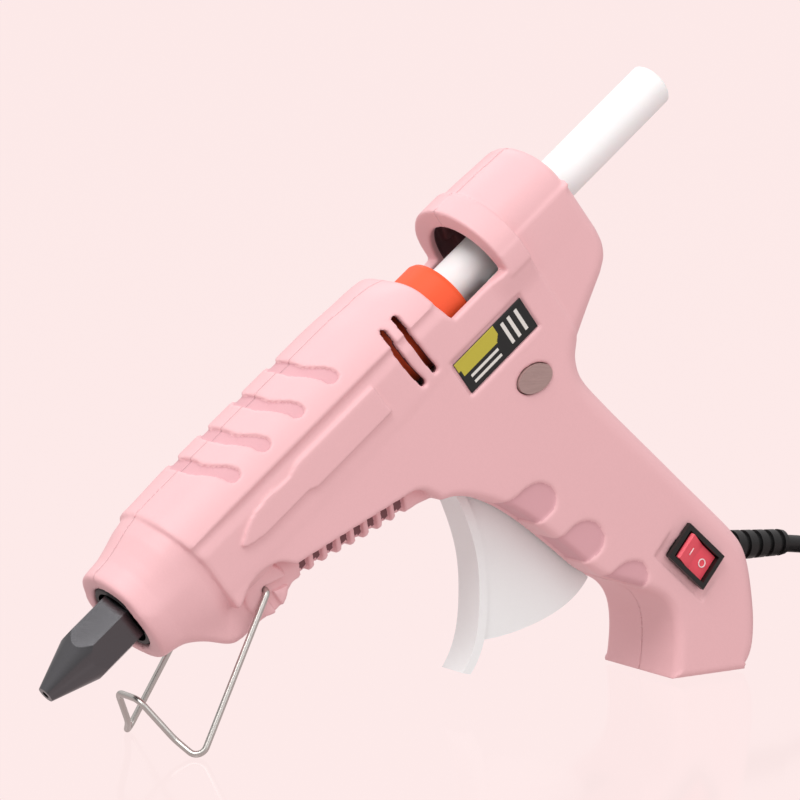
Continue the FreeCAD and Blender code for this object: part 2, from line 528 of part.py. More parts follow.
for k, xs in enumerate(SUPPORTS):
    disc = cyl("support_disc_%d" % k, "support_rad - %s" % (0.2 if k == 0 else 0.0), "support_thick", (xs, 0, 0), (1, 0, 0))
    tab = box("support_tab_%d" % k, xs, xs + VAL["support_thick"], -7.3, 7.3, -17.4 if k == 0 else -20.0, 0)
    clip = box("support_clip_%d" % k, xs - 1, xs + 5, "-support_half", "support_half", -25, 20)
    bore = cyl("support_bore_%d" % k, "chamber_rad + 0.05", 6, (xs - 1, 0, 0), (1, 0, 0))
    sq = box("support_square_%d" % k, xs - 1, xs + 5, "-block_half - 0.05", "block_half + 0.05", "-block_low - 0.05", 0)
    node(cut("support_form_%d" % k, common("support_clipped_%d" % k, fuse("support_blank_%d" % k, [disc, tab]), clip),
             fuse("support_open_%d" % k, [bore, sq])), "front_chamber_support" if k == 0 else "rear_chamber_support")

node(turned("sleeve_turn", [("sleeve_front", "chamber_rad + 0.04"), ("sleeve_front", "sleeve_rad - 0.4"), ("sleeve_front + 10", "sleeve_rad - 0.4"),
                            ("sleeve_front + 12", "sleeve_rad"), ("sleeve_back - 1.4", "sleeve_rad"), ("sleeve_back - 0.4", "sleeve_rad - 0.4"),
                            ("sleeve_back", "sleeve_rad - 1.4"), ("sleeve_back", "sleeve_bore + 1.6"), ("sleeve_back - 1.6", "sleeve_bore"),
                            ("chamber_back + 0.1", "sleeve_bore"), ("chamber_back + 0.1", "chamber_rad + 0.04")]), "inlet_sleeve")
node(turned("clip_turn", [("sleeve_front + 1.5", "sleeve_rad - 0.35"), ("sleeve_front + 1.5", "sleeve_rad + 0.35"),
                          ("sleeve_front + 6.0", "sleeve_rad + 0.35"), ("sleeve_front + 6.0", "sleeve_rad - 0.35")]), "sleeve_clip")
node(turned("stick_turn", [("stick_front", 0), ("stick_front", "stick_rad - 1.2"), ("stick_front + 1.2", "stick_rad"),
                           ("stick_back - 0.6", "stick_rad"), ("stick_back", "stick_rad - 0.6"), ("stick_back", 0)]), "glue_stick")

# ----------------------------------------------------------------- feed -----
lean = math.radians(VAL["arm_lean"])
px, pz = VAL["pivot_x"], VAL["pivot_z"]
tx, tz = px + VAL["arm_len"] * math.sin(lean), pz + VAL["arm_len"] * math.cos(lean)
BAR_OUT = [(104.6, -33.8), (106.0, -37.4), (105.4, -42.4), (101.2, -54.4), (95.8, -62.4), (89.1, -69.2), (81.8, -72.8)]
BAR_IN = [(83.2, -74.6), (90.6, -71.2), (97.6, -64.0), (103.2, -55.4), (107.6, -43.0), (108.4, -37.0)]
tb = new_body("trigger_bar")
sk = curve_sketch(tb, "bar_outline", "XZ_Plane", [BAR_OUT, [BAR_OUT[-1], BAR_IN[0]], BAR_IN, [BAR_IN[-1], BAR_OUT[0]]])
pad(tb, "bar_pad", sk, "trigger_wide")
ARC = [(90.4, -70.4), (96.6, -74.6), (103.6, -78.1), (110.0, -80.4), (116.5, -81.5), (123.0, -80.6)]
wb = new_body("trigger_web")
sk = curve_sketch(wb, "web_outline", "XZ_Plane", [
    [(105.6, -36.0), (107.0, -42.6)], [(107.0, -42.6), (102.6, -54.8), (97.0, -63.2), (90.4, -70.4)], ARC,
    [(123.0, -80.6), (119.4, -66.0)], [(119.4, -66.0), (111.4, -34.6)], [(111.4, -34.6), (105.6, -36.0)]])
pad(wb, "web_pad", sk, "web_wide")
hub = cyl("trigger_hub", "hub_rad", "trigger_wide", ("pivot_x", "-trigger_wide / 2", "pivot_z"), (0, 1, 0))
nx, nz = math.cos(lean), -math.sin(lean)
w2 = 2.6
arm = plate("trigger_arm", [(px - nx * w2, pz - nz * w2), (px + nx * w2, pz + nz * w2), (tx + nx * w2, tz + nz * w2), (tx - nx * w2, tz - nz * w2)], "arm_wide")
knob = cyl("arm_eye", w2, "arm_wide", (tx, "-arm_wide / 2", tz), (0, 1, 0))
tsolid = fuse("trigger_blank", [tb, wb, hub, arm, knob])
th1 = cyl("trigger_bore", "pin_rad + 0.05", "trigger_wide + 2", ("pivot_x", "-trigger_wide / 2 - 1", "pivot_z"), (0, 1, 0))
th2 = cyl("arm_bore", "pin_rad + 0.02", "arm_wide + 2", (tx, "-arm_wide / 2 - 1", tz), (0, 1, 0))
node(cut("trigger_form", tsolid, fuse("trigger_bores", [th1, th2])), "trigger")
node(cyl("pivot_pin_form", "pin_rad", "2 * side_half - 5", ("pivot_x", "-side_half + 2.5", "pivot_z"), (0, 1, 0)), "trigger_pivot_pin")
node(cyl("link_pin_form", "pin_rad", "2 * bar_half - 0.2", (tx, "-bar_half + 0.1", tz), (0, 1, 0)), "link_pin")

car_bar = box("carriage_bar", "car_front", "car_mid + 1", "-bar_half", "bar_half", "-bar_low", "-bar_top")
car_gap = box("carriage_gap", "car_front - 1", 120.0, "-cheek_gap", "cheek_gap", "-bar_low - 1", "-bar_top + 1")
car_slot = box("carriage_slot", tx - 2.0, tx + 2.0, -7, 7, tz - 2.6, tz + 3.6)
car_house = box("carriage_house", "car_mid", "car_back", "-house_half", "house_half", "-bar_low", "-house_top")
car_well = box("carriage_well", "car_mid - 2", "car_back - 1.6", "-cam_half - 0.3", "cam_half + 0.3", "-bar_low + 1.4", 0)
car_stick = cyl("carriage_stick", "stick_rad + 0.5", 20, ("car_mid - 2", 0, 0), (1, 0, 0))
car_pin = cyl("carriage_pin_bore", "cam_pin_rad + 0.02", 20, ("cam_x", -10, "cam_z"), (0, 1, 0))
node(cut("carriage_form", fuse("carriage_blank", [car_bar, car_house]),
         fuse("carriage_open", [car_gap, car_slot, car_well, car_stick, car_pin])), "feed_carriage")
ca = math.radians(20.0)
cx, cz = VAL["cam_x"] - 2.5 * math.sin(ca), VAL["cam_z"] + 2.5 * math.cos(ca)
cam_disc = cyl("cam_disc", "cam_rad", "2 * cam_half", (cx, "-cam_half", cz), (0, 1, 0))
cam_eye = cyl("cam_eye", 2.7, "2 * cam_half", ("cam_x", "-cam_half", "cam_z"), (0, 1, 0))
teeth = []
for k in range(-3, 4):
    a = math.radians(90 + k * 11)
    teeth.append(cyl("tooth_gap_%d" % (k + 3), 0.32, "2 * cam_half + 1",
                     (cx + (VAL["cam_rad"] + 0.05) * math.cos(a), "-cam_half - 0.5", cz + (VAL["cam_rad"] + 0.05) * math.sin(a)), (0, 1, 0)))
cam_bore = cyl("cam_bore", "cam_pin_rad + 0.04", "2 * cam_half + 2", ("cam_x", "-cam_half - 1", "cam_z"), (0, 1, 0))
node(cut("cam_form", fuse("cam_blank", [cam_disc, cam_eye]), fuse("cam_cuts", teeth + [cam_bore])), "grip_cam")
node(cyl("cam_pin_form", "cam_pin_rad", "2 * house_half - 0.4", ("cam_x", "-house_half + 0.2", "cam_z"), (0, 1, 0)), "cam_pin")

# return spring: an extension spring from the carriage to the rear wall
coil_r, coil_w, sp0, sp1 = 2.0, 0.32, 156.6, 166.4
helix = Part.makeHelix(1.15, sp1 - sp0, coil_r)
helix.Placement = Placement(Vector(sp0, 0, -12.6), Rotation(Vector(0, 0, 1), Vector(1, 0, 0)))
sp_path = doc.addObject("Part::Feature", "spring_path")
sp_path.Shape = helix
start = helix.Edges[0].valueAt(helix.Edges[0].FirstParameter)
tang = helix.Edges[0].tangentAt(helix.Edges[0].FirstParameter)
sp_ring = doc.addObject("Part::Circle", "spring_ring")
sp_ring.Radius = coil_w
sp_ring.Placement = Placement(start, Rotation(Vector(0, 0, 1), tang))
sp = doc.addObject("Part::Sweep", "spring_sweep")
sp.Sections = [sp_ring]
sp.Spine = (sp_path, ["Edge%d" % (k + 1) for k in range(len(helix.Edges))])
sp.Solid = True
sp.Frenet = True
node(sp, "return_spring")

# ----------------------------------------------------------------- stand ----
lx, lz, fx, fz = VAL["lug_x"], VAL["lug_z"], VAL["foot_x"], VAL["foot_z"]
leg, foot = VAL["leg_in"], VAL["foot_out"]
half_path = [(lx, 8.2, lz), (lx, leg, lz), (fx + 0.2, foot, fz), (fx + 0.35, foot * 0.62, fz + 5.2), (fx + 1.0, 4.6, fz + 15.6)]
mirror = [(a, -b, c) for a, b, c in reversed(half_path)]
st, st_len = tube("stand_wire", half_path + mirror, "wire_rad", radii={1: 1.6, 2: 2.4, 3: 9, 4: 3.6, 5: 3.6, 6: 9, 7: 2.4, 8: 1.6}, share=0.47)
node(st, "wire_stand")

# ---------------------------------------------------------------- switch ----
SW = BARREL.multiply(SWITCH_AT)


def sbox(name, x0, x1, y0, y1, z0, z1):
    o = box(name, x0, x1, y0, y1, z0, z1)
    return o


bez = sbox("switch_bezel", "-bezel_long / 2", "bezel_long / 2", "-bezel_thick", 0, "-bezel_wide / 2", "bezel_wide / 2")
nck = sbox("switch_neck", "-neck_long / 2", "neck_long / 2", -0.5, "switch_deep", "-neck_wide / 2", "neck_wide / 2")
well = sbox("switch_well", "-rocker_long / 2 - 0.35", "rocker_long / 2 + 0.35", -5, 6.6, "-rocker_wide / 2 - 0.25", "rocker_wide / 2 + 0.25")
trunnion_hole = cyl("trunnion_hole", 1.06, 9.0, (0, 2.2, -4.5), (0, 0, 1))
node(cut("switch_body_form", fuse("switch_blank", [bez, nck]), fuse("switch_hollow", [well, trunnion_hole])), "switch_body", SW)
half_l = VAL["rocker_long"] / 2
rk = plate("rocker_side", [(-half_l, 0.1), (-half_l + 0.3, -0.9), (0, -0.1), (half_l - 0.3, -0.9), (half_l, 0.1), (2.4, 4.6), (-2.4, 4.6)], "rocker_wide", role="XY_Plane")
rk_at = Placement(Vector(0, 0.0, 0), Rotation(Vector(0, 0, 1), 10.0), Vector(0, 2.2, 0))
rk.Placement = rk_at
node(fuse("rocker_form", [rk, cyl("rocker_trunnion", 1.0, 8.2, (0, 2.2, -4.1), (0, 0, 1))]), "switch_rocker", SW)
node(group("terminal_pair", [
    box("terminal_a", -4.8, -4.2, VAL["switch_deep"] + 0.0, VAL["switch_deep"] + 5.0, -2.3, 2.3),
    box("terminal_b", -0.8, -0.2, VAL["switch_deep"] + 0.0, VAL["switch_deep"] + 5.0, -2.3, 2.3)]), "switch_terminals", SW)

# --------------------------------------------------- window, lamp, label ----
node(oval("window_form", 5.0, 3.25, -15.2, -12.2), "indicator_lens")
lamp_turn = cyl("lamp_glass", 2.0, 8.0, (131.0, -9.6, -25.0), (1, 0, 0))
node(lamp_turn, "indicator_lamp")
node(box("label_form", 120.2, 143.7, "-side_half + 0.2", "-side_half + 0.6", -16.1, -7.2), "label_plate")

# ---------------------------------------------------------------- wiring ----
cin = ENTRY - DIRX * 15.6
wl, _ = tube("live_core", [(cin.x - 0.1, -1.1, cin.z + 0.1), (cin.x - 0.5, -1.6, cin.z + 1.3), (cin.x - 1.0, -1.4, cin.z + 2.1)], 0.7)
node(wl, "live_wire")
wh, _ = tube("heater_core", [(143.3, 1.2, -86.9), (143.9, 5.4, -82.0), (146.0, 8.8, -70.0), (143.6, 9.8, -50.0), (141.6, 10.0, -36.0), (134.0, 10.2, -23.2),
                             (120.0, 10.0, -21.4), (103.0, 8.8, -19.0), (97.6, 5.8, -14.4), (95.8, 3.0, -12.0)], 0.8)
node(wh, "heater_wire")
wn, _ = tube("neutral_core", [(cin.x - 0.1, 1.1, cin.z + 0.1), (cin.x - 0.5, 4.2, cin.z + 2.4), (147.8, 9.8, -84.0), (148.6, 10.8, -70.0), (145.6, 11.6, -50.0),
                              (143.4, 11.6, -38.0), (136.0, 11.6, -22.0), (122.0, 11.6, -18.6), (104.0, 10.8, -15.6), (97.6, 7.0, -11.0), (95.8, 3.0, -9.5)], 0.8)
node(wn, "neutral_wire")

# ---------------------------------------------------- cord, clamp, plug -----
WX = VAL["tip_x"] + 188.6
WZ = 29.0
WORLD = Placement()
# strain relief: a collar in the wall, then a ribbed taper
boot = new_body("boot_turn")
steps = [(-2.2, VAL["cord_rad"] + 0.02), (-2.2, 4.3), (-0.2 - 1.9, 4.3)]
prof = [(-8.8, 2.25), (-8.8, 4.4), (-7.2, 4.4), (-7.2, 3.2), (1.4, 3.2)]
x = 1.4
ribs = 5
pitch = (VAL["boot_len"] - 3.1) / ribs
for k in range(ribs):
    r = VAL["boot_rad"] + 0.2 - 0.12 * k
    prof += [(x, r), (x + pitch * 0.62, r - 0.05), (x + pitch * 0.62, r - 0.75), (x + pitch, r - 0.8)]
    x += pitch
prof += [(x, VAL["boot_rad"] - 0.35), (x + 1.4, VAL["boot_rad"] - 0.6), (x + 1.7, 2.25)]
sk = poly_sketch(boot, "boot_profile", "XZ_Plane", prof)
rv = boot.newObject("PartDesign::Revolution", "boot_rev")
rv.Profile = sk
rv.ReferenceAxis = (sk, ["H_Axis"])
rv.Angle = 360
BOOT_END = x + 1.7
node(boot, "strain_relief", BOOT)
bd = BOOT.Rotation.multVec(Vector(1, 0, 0))
start_in = BOOT.multVec(Vector(8.0, 0, 0))
end_out = BOOT.multVec(Vector(BOOT_END, 0, 0))
stub_at = BOOT.multVec(Vector(-15.0, 0, 0))
node(cyl("cord_stub", "cord_rad", 22.8, (stub_at.x, 0, stub_at.z), (bd.x, bd.y, bd.z)), "cord_inner_end", Placement())
cr = VAL["cord_rad"]
XS, CY = end_out.x + 22.6, -4.0
XE, LANE = XS + VAL["hank_run"], CY + VAL["hank_rad"] - cr
TOP = VAL["coil_high"] + 0.05 + cr
ROUTE = [tuple(start_in),
         tuple(end_out + bd * 10.0),
         (XS + 3.0, LANE - 0.6, TOP + 1.6),
         (XS + 20.0, LANE, TOP + 0.05)]
print("route", [tuple(round(c, 2) for c in p) for p in ROUTE])
cord_a, len_a = tube("cord_out", ROUTE, "cord_rad", report=True)
# the hank of put-away cord: long turns side by side and on each other
def oblong(name, rad, z0, high):
    mid = box(name + "_mid", XS, XE, CY - num(rad), CY + num(rad), z0, z0 + num(high))
    return fuse(name, [mid, cyl(name + "_near", rad, high, (XS, CY, z0), (0, 0, 1)), cyl(name + "_far", rad, high, (XE, CY, z0), (0, 0, 1))])


coil = cut("hank_form", oblong("hank_outer", "hank_rad", 0.05, "coil_high"), oblong("hank_inner", "hank_rad - coil_wide", -1.0, "coil_high + 2"))
# plug behind the hank, its lead leaving the lowest outer turn
PX, PY = XE + 57.0, 2.0
PLUG = Placement(Vector(PX, PY, 6.6), Rotation())
print("hank", round(XS, 2), round(XE, 2), round(CY, 2), round(LANE, 2), "plug", round(PX, 2), round(PY, 2))
node(coil, "cord_coil", WORLD)
ROUTE_B = [(XE + 11.4, LANE, 2.3), (PX - 38.5, LANE - 0.4, 2.9), (PX - 29.5, PY + 0.2, 6.5), (PX - 21.5, PY, 6.6)]
print("route_b", [tuple(round(c, 2) for c in p) for p in ROUTE_B])
cord_b, len_b = tube("cord_tail", ROUTE_B, "cord_rad", report=True)
node(group("cord_pair", [cord_a, cord_b]), "power_cord", WORLD)
pb = new_body("plug_form")
sk = poly_sketch(pb, "plug_outline", "XY_Plane", [(-16.0, -8.6), (-4.0, -13.4), (14.0, -13.4), (17.6, -12.2), (17.6, 12.2), (14.0, 13.4), (-4.0, 13.4), (-16.0, 8.6)])
pp = pad(pb, "plug_pad", sk, 12.6)
doc.recompute()
ch = pb.newObject("PartDesign::Chamfer", "plug_chamfer")
ch.Base = (pp, ["Edge%d" % (i + 1) for i, e in enumerate(pp.Shape.Edges)
                if abs(abs(e.CenterOfMass.z) - 6.3) < 1e-4])
ch.Size = 2.2
tail = cone("plug_tail", 4.4, 3.2, 7.0, (-14.5, 0, 0), (-1, 0, 0))
node(fuse("plug_all", [pb, tail]), "plug_body", PLUG)
pins = [cyl("plug_pin_%d" % k, "plug_pin_rad", "pin_len - 1", (17.62, s * VAL["pin_gap"] / 2, 0), (1, 0, 0)) for k, s in enumerate((-1, 1))]
tips = [cone("plug_tip_%d" % k, VAL["plug_pin_rad"], 1.2, 1.0, (17.62 + VAL["pin_len"] - 1, s * VAL["pin_gap"] / 2, 0), (1, 0, 0)) for k, s in enumerate((-1, 1))]
node(group("pin_pair", [fuse("pin_a", [pins[0], tips[0]]), fuse("pin_b", [pins[1], tips[1]])]), "plug_pins", PLUG)

# clamp bar over the cord inside the handle, and its two screws
cb = box("clamp_bar", -2.2, 2.2, -4.4, -2.3, -6.8, 6.8)
cb.Placement = CLAMP.multiply(cb.Placement)
cb_holes = fuse("clamp_holes", [cyl("clamp_hole_%d" % k, 1.12, 4, (q.x, -5.4, q.z), (0, 1, 0)) for k, q in enumerate(CLAMP_AT)])
node(cut("clamp_form", cb, cb_holes), "cord_clamp")
cs = []
for k, q in enumerate(CLAMP_AT):
    cs.append(fuse("clamp_screw_%d" % k, [cyl("clamp_shank_%d" % k, 1.0, 14.0, (q.x, -4.6, q.z), (0, 1, 0)),
                                          cyl("clamp_head_%d" % k, 1.9, 1.2, (q.x, -5.6, q.z), (0, 1, 0))]))
node(group("clamp_screw_pair", cs), "clamp_screws")

doc.recompute()

# ---------------------------------------------------------------- output ----
bad = []
for o in doc.Objects:
    if any(s in ("Invalid", "Error") for s in o.State):
        bad.append("%s %s" % (o.Name, o.State))
for o in NODES:
    if o.Shape.isNull() or not o.Shape.isValid() or not o.Shape.Solids:
        bad.append("%s shape" % o.Label)
for name, o, ln in (("cord_out", cord_a, len_a), ("cord_tail", cord_b, len_b)):
    want = math.pi * VAL["cord_rad"] ** 2 * ln
    print(name, "volume", round(o.Shape.Volume, 1), "section x length", round(want, 1))
if bad:
    for line in bad:
        print("FAILED", line)
    raise SystemExit(1)
os.makedirs("parts", exist_ok=True)
for o in NODES:
    bb = o.Shape.BoundBox
    zs = [p.z for p in o.Shape.tessellate(0.05)[0]]
    print("%-26s zmin %.3f solids %d vol %9.1f  x %7.1f %7.1f  y %7.1f %7.1f  z %7.1f %7.1f" % (
        o.Label, min(zs), len(o.Shape.Solids), o.Shape.Volume, bb.XMin, bb.XMax, bb.YMin, bb.YMax, bb.ZMin, bb.ZMax))
    if len(o.Shape.Solids) > 1 and "shell" in o.Label:
        for q in o.Shape.Solids:
            print("   ", round(q.Volume, 2), BARREL.inverse().multVec(q.CenterOfMass))
    o.Shape.exportStep("parts/%s.step" % o.Label)
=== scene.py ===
import math

import bpy
import numpy as np
from mathutils import Matrix, Vector


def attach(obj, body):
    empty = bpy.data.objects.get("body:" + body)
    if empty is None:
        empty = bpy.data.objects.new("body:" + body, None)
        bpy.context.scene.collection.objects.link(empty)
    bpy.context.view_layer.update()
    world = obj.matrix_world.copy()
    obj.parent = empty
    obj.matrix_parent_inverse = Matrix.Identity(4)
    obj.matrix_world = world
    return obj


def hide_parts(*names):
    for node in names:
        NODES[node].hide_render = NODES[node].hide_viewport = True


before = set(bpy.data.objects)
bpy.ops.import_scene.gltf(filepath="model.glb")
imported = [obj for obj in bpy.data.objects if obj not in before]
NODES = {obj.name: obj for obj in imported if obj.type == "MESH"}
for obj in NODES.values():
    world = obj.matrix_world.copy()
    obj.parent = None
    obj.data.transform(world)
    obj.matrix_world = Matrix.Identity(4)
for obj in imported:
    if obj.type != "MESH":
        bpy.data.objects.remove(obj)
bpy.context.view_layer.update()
SC = bpy.context.scene

# ------------------------------------------------------------ frame -------
# barrel axes in millimetres: u along the barrel from the nozzle tip, y across, v up
TX, TZ, CT, ST = -95.15, 15.14, 0.79229, 0.61015


def W(u, y, v):
    return Vector(((u * CT - v * ST + TX) * 1e-3, y * 1e-3, (u * ST + v * CT + TZ) * 1e-3))


BARREL = Matrix(((CT, 0, -ST, TX * 1e-3), (0, 1, 0, 0), (ST, 0, CT, TZ * 1e-3), (0, 0, 0, 1)))

# ----------------------------------------------------------- camera -------
PSI, EPS, DIST = math.radians(34.265), math.radians(8.038), 0.850
TARGET = Vector((-0.00091, 0.0, 0.07310))
fwd = Vector((math.sin(PSI) * math.cos(EPS), math.cos(PSI) * math.cos(EPS), -math.sin(EPS)))
right = Vector((math.cos(PSI), -math.sin(PSI), 0.0))
up = right.cross(fwd)
cam_data = bpy.data.cameras.new("view")
cam_data.lens, cam_data.sensor_width = 165.0, 36.0
cam_data.clip_start, cam_data.clip_end = 0.05, 60.0
cam = bpy.data.objects.new("view", cam_data)
SC.collection.objects.link(cam)
cam.matrix_world = Matrix.Translation(TARGET - fwd * DIST) @ Matrix((right, up, -fwd)).transposed().to_4x4()
SC.camera = cam
SC.view_settings.view_transform = "Standard"


# -------------------------------------------------------- materials -------
def lin(c):
    return tuple(((x / 255.0 + 0.055) / 1.055) ** 2.4 if x > 10 else x / 255.0 / 12.92 for x in c) + (1.0,)


def mat(name, rgb, rough=0.4, spec=0.5, metal=0.0, tint=0.05, grain=2600.0, bump=0.05, coat=0.0,
        sss=0.0, trans=0.0, ior=1.46, streak=None, depth=0.0002, second=None, alpha=1.0):
    """Moulded or metal finish: a fine grain that shifts colour, roughness and normal a little."""
    m = bpy.data.materials.new(name)
    m.use_nodes = True
    nt = m.node_tree
    b = nt.nodes["Principled BSDF"]
    tc = nt.nodes.new("ShaderNodeTexCoord")
    mp = nt.nodes.new("ShaderNodeMapping")
    nt.links.new(tc.outputs["Object"], mp.inputs["Vector"])
    if streak:
        mp.inputs["Scale"].default_value = streak
    fine = nt.nodes.new("ShaderNodeTexNoise")
    fine.inputs["Scale"].default_value = grain
    fine.inputs["Detail"].default_value = 3.0
    fine.inputs["Roughness"].default_value = 0.6
    nt.links.new(mp.outputs["Vector"], fine.inputs["Vector"])
    wide = nt.nodes.new("ShaderNodeTexNoise")
    wide.inputs["Scale"].default_value = 55.0
    wide.inputs["Detail"].default_value = 2.0
    nt.links.new(tc.outputs["Object"], wide.inputs["Vector"])
    mix = nt.nodes.new("ShaderNodeMix")
    mix.data_type = "RGBA"
    base = lin(rgb)
    dark = tuple(x * (1.0 - tint) for x in base[:3]) + (1.0,)
    lite = tuple(min(1.0, x * (1.0 + tint)) for x in base[:3]) + (1.0,)
    mix.inputs[6].default_value = dark
    mix.inputs[7].default_value = second and lin(second) or lite
    add = nt.nodes.new("ShaderNodeMath")
    add.operation = "MULTIPLY_ADD"
    nt.links.new(fine.outputs["Fac"], add.inputs[0])
    add.inputs[1].default_value = 0.7
    sub = nt.nodes.new("ShaderNodeMath")
    sub.operation = "MULTIPLY"
    nt.links.new(wide.outputs["Fac"], sub.inputs[0])
    sub.inputs[1].default_value = 0.3
    nt.links.new(sub.outputs[0], add.inputs[2])
    nt.links.new(add.outputs[0], mix.inputs[0])
    nt.links.new(mix.outputs[2], b.inputs["Base Color"])
    mr = nt.nodes.new("ShaderNodeMapRange")
    mr.inputs["To Min"].default_value = max(0.03, rough - 0.06)
    mr.inputs["To Max"].default_value = min(1.0, rough + 0.06)
    nt.links.new(wide.outputs["Fac"], mr.inputs["Value"])
    nt.links.new(mr.outputs["Result"], b.inputs["Roughness"])
    if bump:
        bp = nt.nodes.new("ShaderNodeBump")
        bp.inputs["Strength"].default_value = bump
        bp.inputs["Distance"].default_value = depth
        nt.links.new(fine.outputs["Fac"], bp.inputs["Height"])
        nt.links.new(bp.outputs["Normal"], b.inputs["Normal"])
    b.inputs["Metallic"].default_value = metal
    b.inputs["Specular IOR Level"].default_value = spec
    b.inputs["IOR"].default_value = ior
    b.inputs["Coat Weight"].default_value = coat
    b.inputs["Coat Roughness"].default_value = 0.12
    if sss:
        b.inputs["Subsurface Weight"].default_value = sss
        b.inputs["Subsurface Radius"].default_value = (1.0, 0.6, 0.5)
        b.inputs["Subsurface Scale"].default_value = 0.0012
    b.inputs["Transmission Weight"].default_value = trans
    return m


M = {
    "pink": mat("pink_shell", (235, 187, 191), rough=0.46, tint=0.045, grain=2400, bump=0.10, spec=0.42),
    # painted shade: a dark pink for the inner walls of the shell, standing for the shade inside it
    "shaded_interior_pink": mat("shaded_interior_pink", (120, 84, 88), rough=0.6, tint=0.06, grain=1500, bump=0.12, spec=0.25),
    # painted shade: a darker pink on the floors of the grip grooves, finger recesses and ribbed strip, for the shade in
    # these recesses
    "recess_shade_pink": mat("painted_shade_recess_pink", (219, 168, 175), rough=0.52, tint=0.05, grain=2400, bump=0.12, spec=0.35),
    "steel": mat("stand_steel", (196, 194, 190), rough=0.30, metal=1.0, tint=0.05, grain=900, bump=0.04),
    "nozzle": mat("nozzle_metal", (98, 98, 101), rough=0.17, metal=1.0, tint=0.10, grain=700, bump=0.05, streak=(1, 1, 8)),
    "zinc": mat("zinc_steel", (186, 188, 192), rough=0.34, metal=1.0, tint=0.06, grain=1500, bump=0.05),
    "alu": mat("cast_alloy", (176, 176, 178), rough=0.5, metal=1.0, tint=0.08, grain=1800, bump=0.18),
    "brass": mat("plated_brass", (206, 190, 148), rough=0.3, metal=1.0, tint=0.05, grain=1500, bump=0.04),
    "silicone": mat("orange_silicone", (240, 92, 52), rough=0.5, tint=0.07, grain=1700, bump=0.06, spec=0.35),
    "silk": mat("black_silicone", (24, 24, 26), rough=0.5, tint=0.15, grain=1700, bump=0.08),
    "stick": mat("hot_melt", (246, 248, 248), rough=0.36, tint=0.03, grain=500, bump=0.05, sss=0.25, spec=0.45),
    "white": mat("white_plastic", (244, 249, 249), rough=0.42, tint=0.03, grain=2400, bump=0.10, spec=0.4),
    # painted shade: a grey white meant for the trigger's front bar and rim, darker where they face away from the light;
    # no part uses it
    "trigger_shade_white": mat("white_painted_shade_rim", (205, 208, 208), rough=0.45, tint=0.03, grain=2400, bump=0.10, spec=0.4),
    "spring": mat("spring_steel", (176, 178, 182), rough=0.3, metal=1.0, tint=0.05, grain=1500, bump=0.04),
    "black": mat("black_plastic", (20, 22, 21), rough=0.34, tint=0.2, grain=2400, bump=0.08, spec=0.5),
    "red": mat("red_rocker", (238, 84, 100), rough=0.36, tint=0.04, grain=2200, bump=0.05, spec=0.45),
    "rubber": mat("black_rubber", (17, 17, 18), rough=0.42, tint=0.2, grain=1500, bump=0.10, spec=0.5),
    "mica": mat("heater_film", (196, 178, 130), rough=0.5, tint=0.1, grain=900, bump=0.08),
    "ceramic": mat("heater_ceramic", (150, 146, 140), rough=0.7, tint=0.1, grain=1600, bump=0.2),
    "glass": mat("lamp_glass", (240, 170, 120), rough=0.1, tint=0.03, grain=900, bump=0.0, trans=0.7),
    "copper": mat("wire_brown", (120, 60, 40), rough=0.45, tint=0.1, grain=1500, bump=0.05),
    "blue": mat("wire_blue", (50, 90, 160), rough=0.45, tint=0.1, grain=1500, bump=0.05),
    "lens": mat("window_plastic", (166, 140, 136), rough=0.45, tint=0.22, grain=700, bump=0.5, streak=(0.5, 1, 5), spec=0.4),
    "label_dark": mat("label_dark", (22, 26, 26), rough=0.38, tint=0.15, grain=2000, bump=0.03),
    "label_olive": mat("label_olive", (190, 180, 62), rough=0.40, tint=0.04, grain=2000, bump=0.03),
    "label_white": mat("label_white", (222, 222, 216), rough=0.42, tint=0.03, grain=2000, bump=0.03),
    "mark": mat("switch_mark", (250, 232, 232), rough=0.4, tint=0.02, grain=2000, bump=0.03),
}


def paint(node, m):
    o = NODES[node]
    for s in o.material_slots:
        s.material = m
    if not o.material_slots:
        o.data.materials.append(m)


for n, m in {
    "left_shell": "pink", "right_shell": "pink", "casing_screws": "zinc", "nozzle": "nozzle",
    "nozzle_insulating_ring": "silk", "melt_chamber": "alu", "heater_insulation": "mica", "heater_electrodes": "brass",
    "ptc_heater": "ceramic", "front_chamber_support": "zinc", "rear_chamber_support": "zinc", "inlet_sleeve": "silicone",
    "sleeve_clip": "spring", "glue_stick": "stick", "trigger": "white", "trigger_pivot_pin": "zinc", "link_pin": "zinc",
    "feed_carriage": "white", "grip_cam": "white", "cam_pin": "zinc", "return_spring": "spring", "wire_stand": "steel",
    "switch_body": "black", "switch_rocker": "red", "switch_terminals": "brass", "indicator_lens": "lens",
    "indicator_lamp": "glass", "label_plate": "label_dark", "live_wire": "copper", "heater_wire": "copper",
    "neutral_wire": "blue", "strain_relief": "rubber", "cord_inner_end": "rubber", "cord_coil": "rubber",
    "power_cord": "rubber", "plug_body": "rubber", "plug_pins": "brass", "cord_clamp": "zinc", "clamp_screws": "zinc",
}.items():
    paint(n, M[m])


# ---------------------------------------------------------- meshing -------
def new_object(name, verts, faces, material, smooth=True):
    me = bpy.data.meshes.new(name)
    verts = np.asarray(verts, np.float32)
    faces = np.asarray(faces, np.int32)
    me.vertices.add(len(verts))
    me.vertices.foreach_set("co", verts.ravel())
    k = faces.shape[1]
    me.loops.add(faces.size)
    me.loops.foreach_set("vertex_index", faces.ravel())
    me.polygons.add(len(faces))
    me.polygons.foreach_set("loop_start", np.arange(0, faces.size, k, dtype=np.int32))
    me.polygons.foreach_set("loop_total", np.full(len(faces), k, np.int32))
    me.update(calc_edges=True)
    me.validate()
    if smooth:
        me.polygons.foreach_set("use_smooth", np.ones(len(me.polygons), bool))
    me.materials.append(material)
    o = bpy.data.objects.new(name, me)
    SC.collection.objects.link(o)
    return o


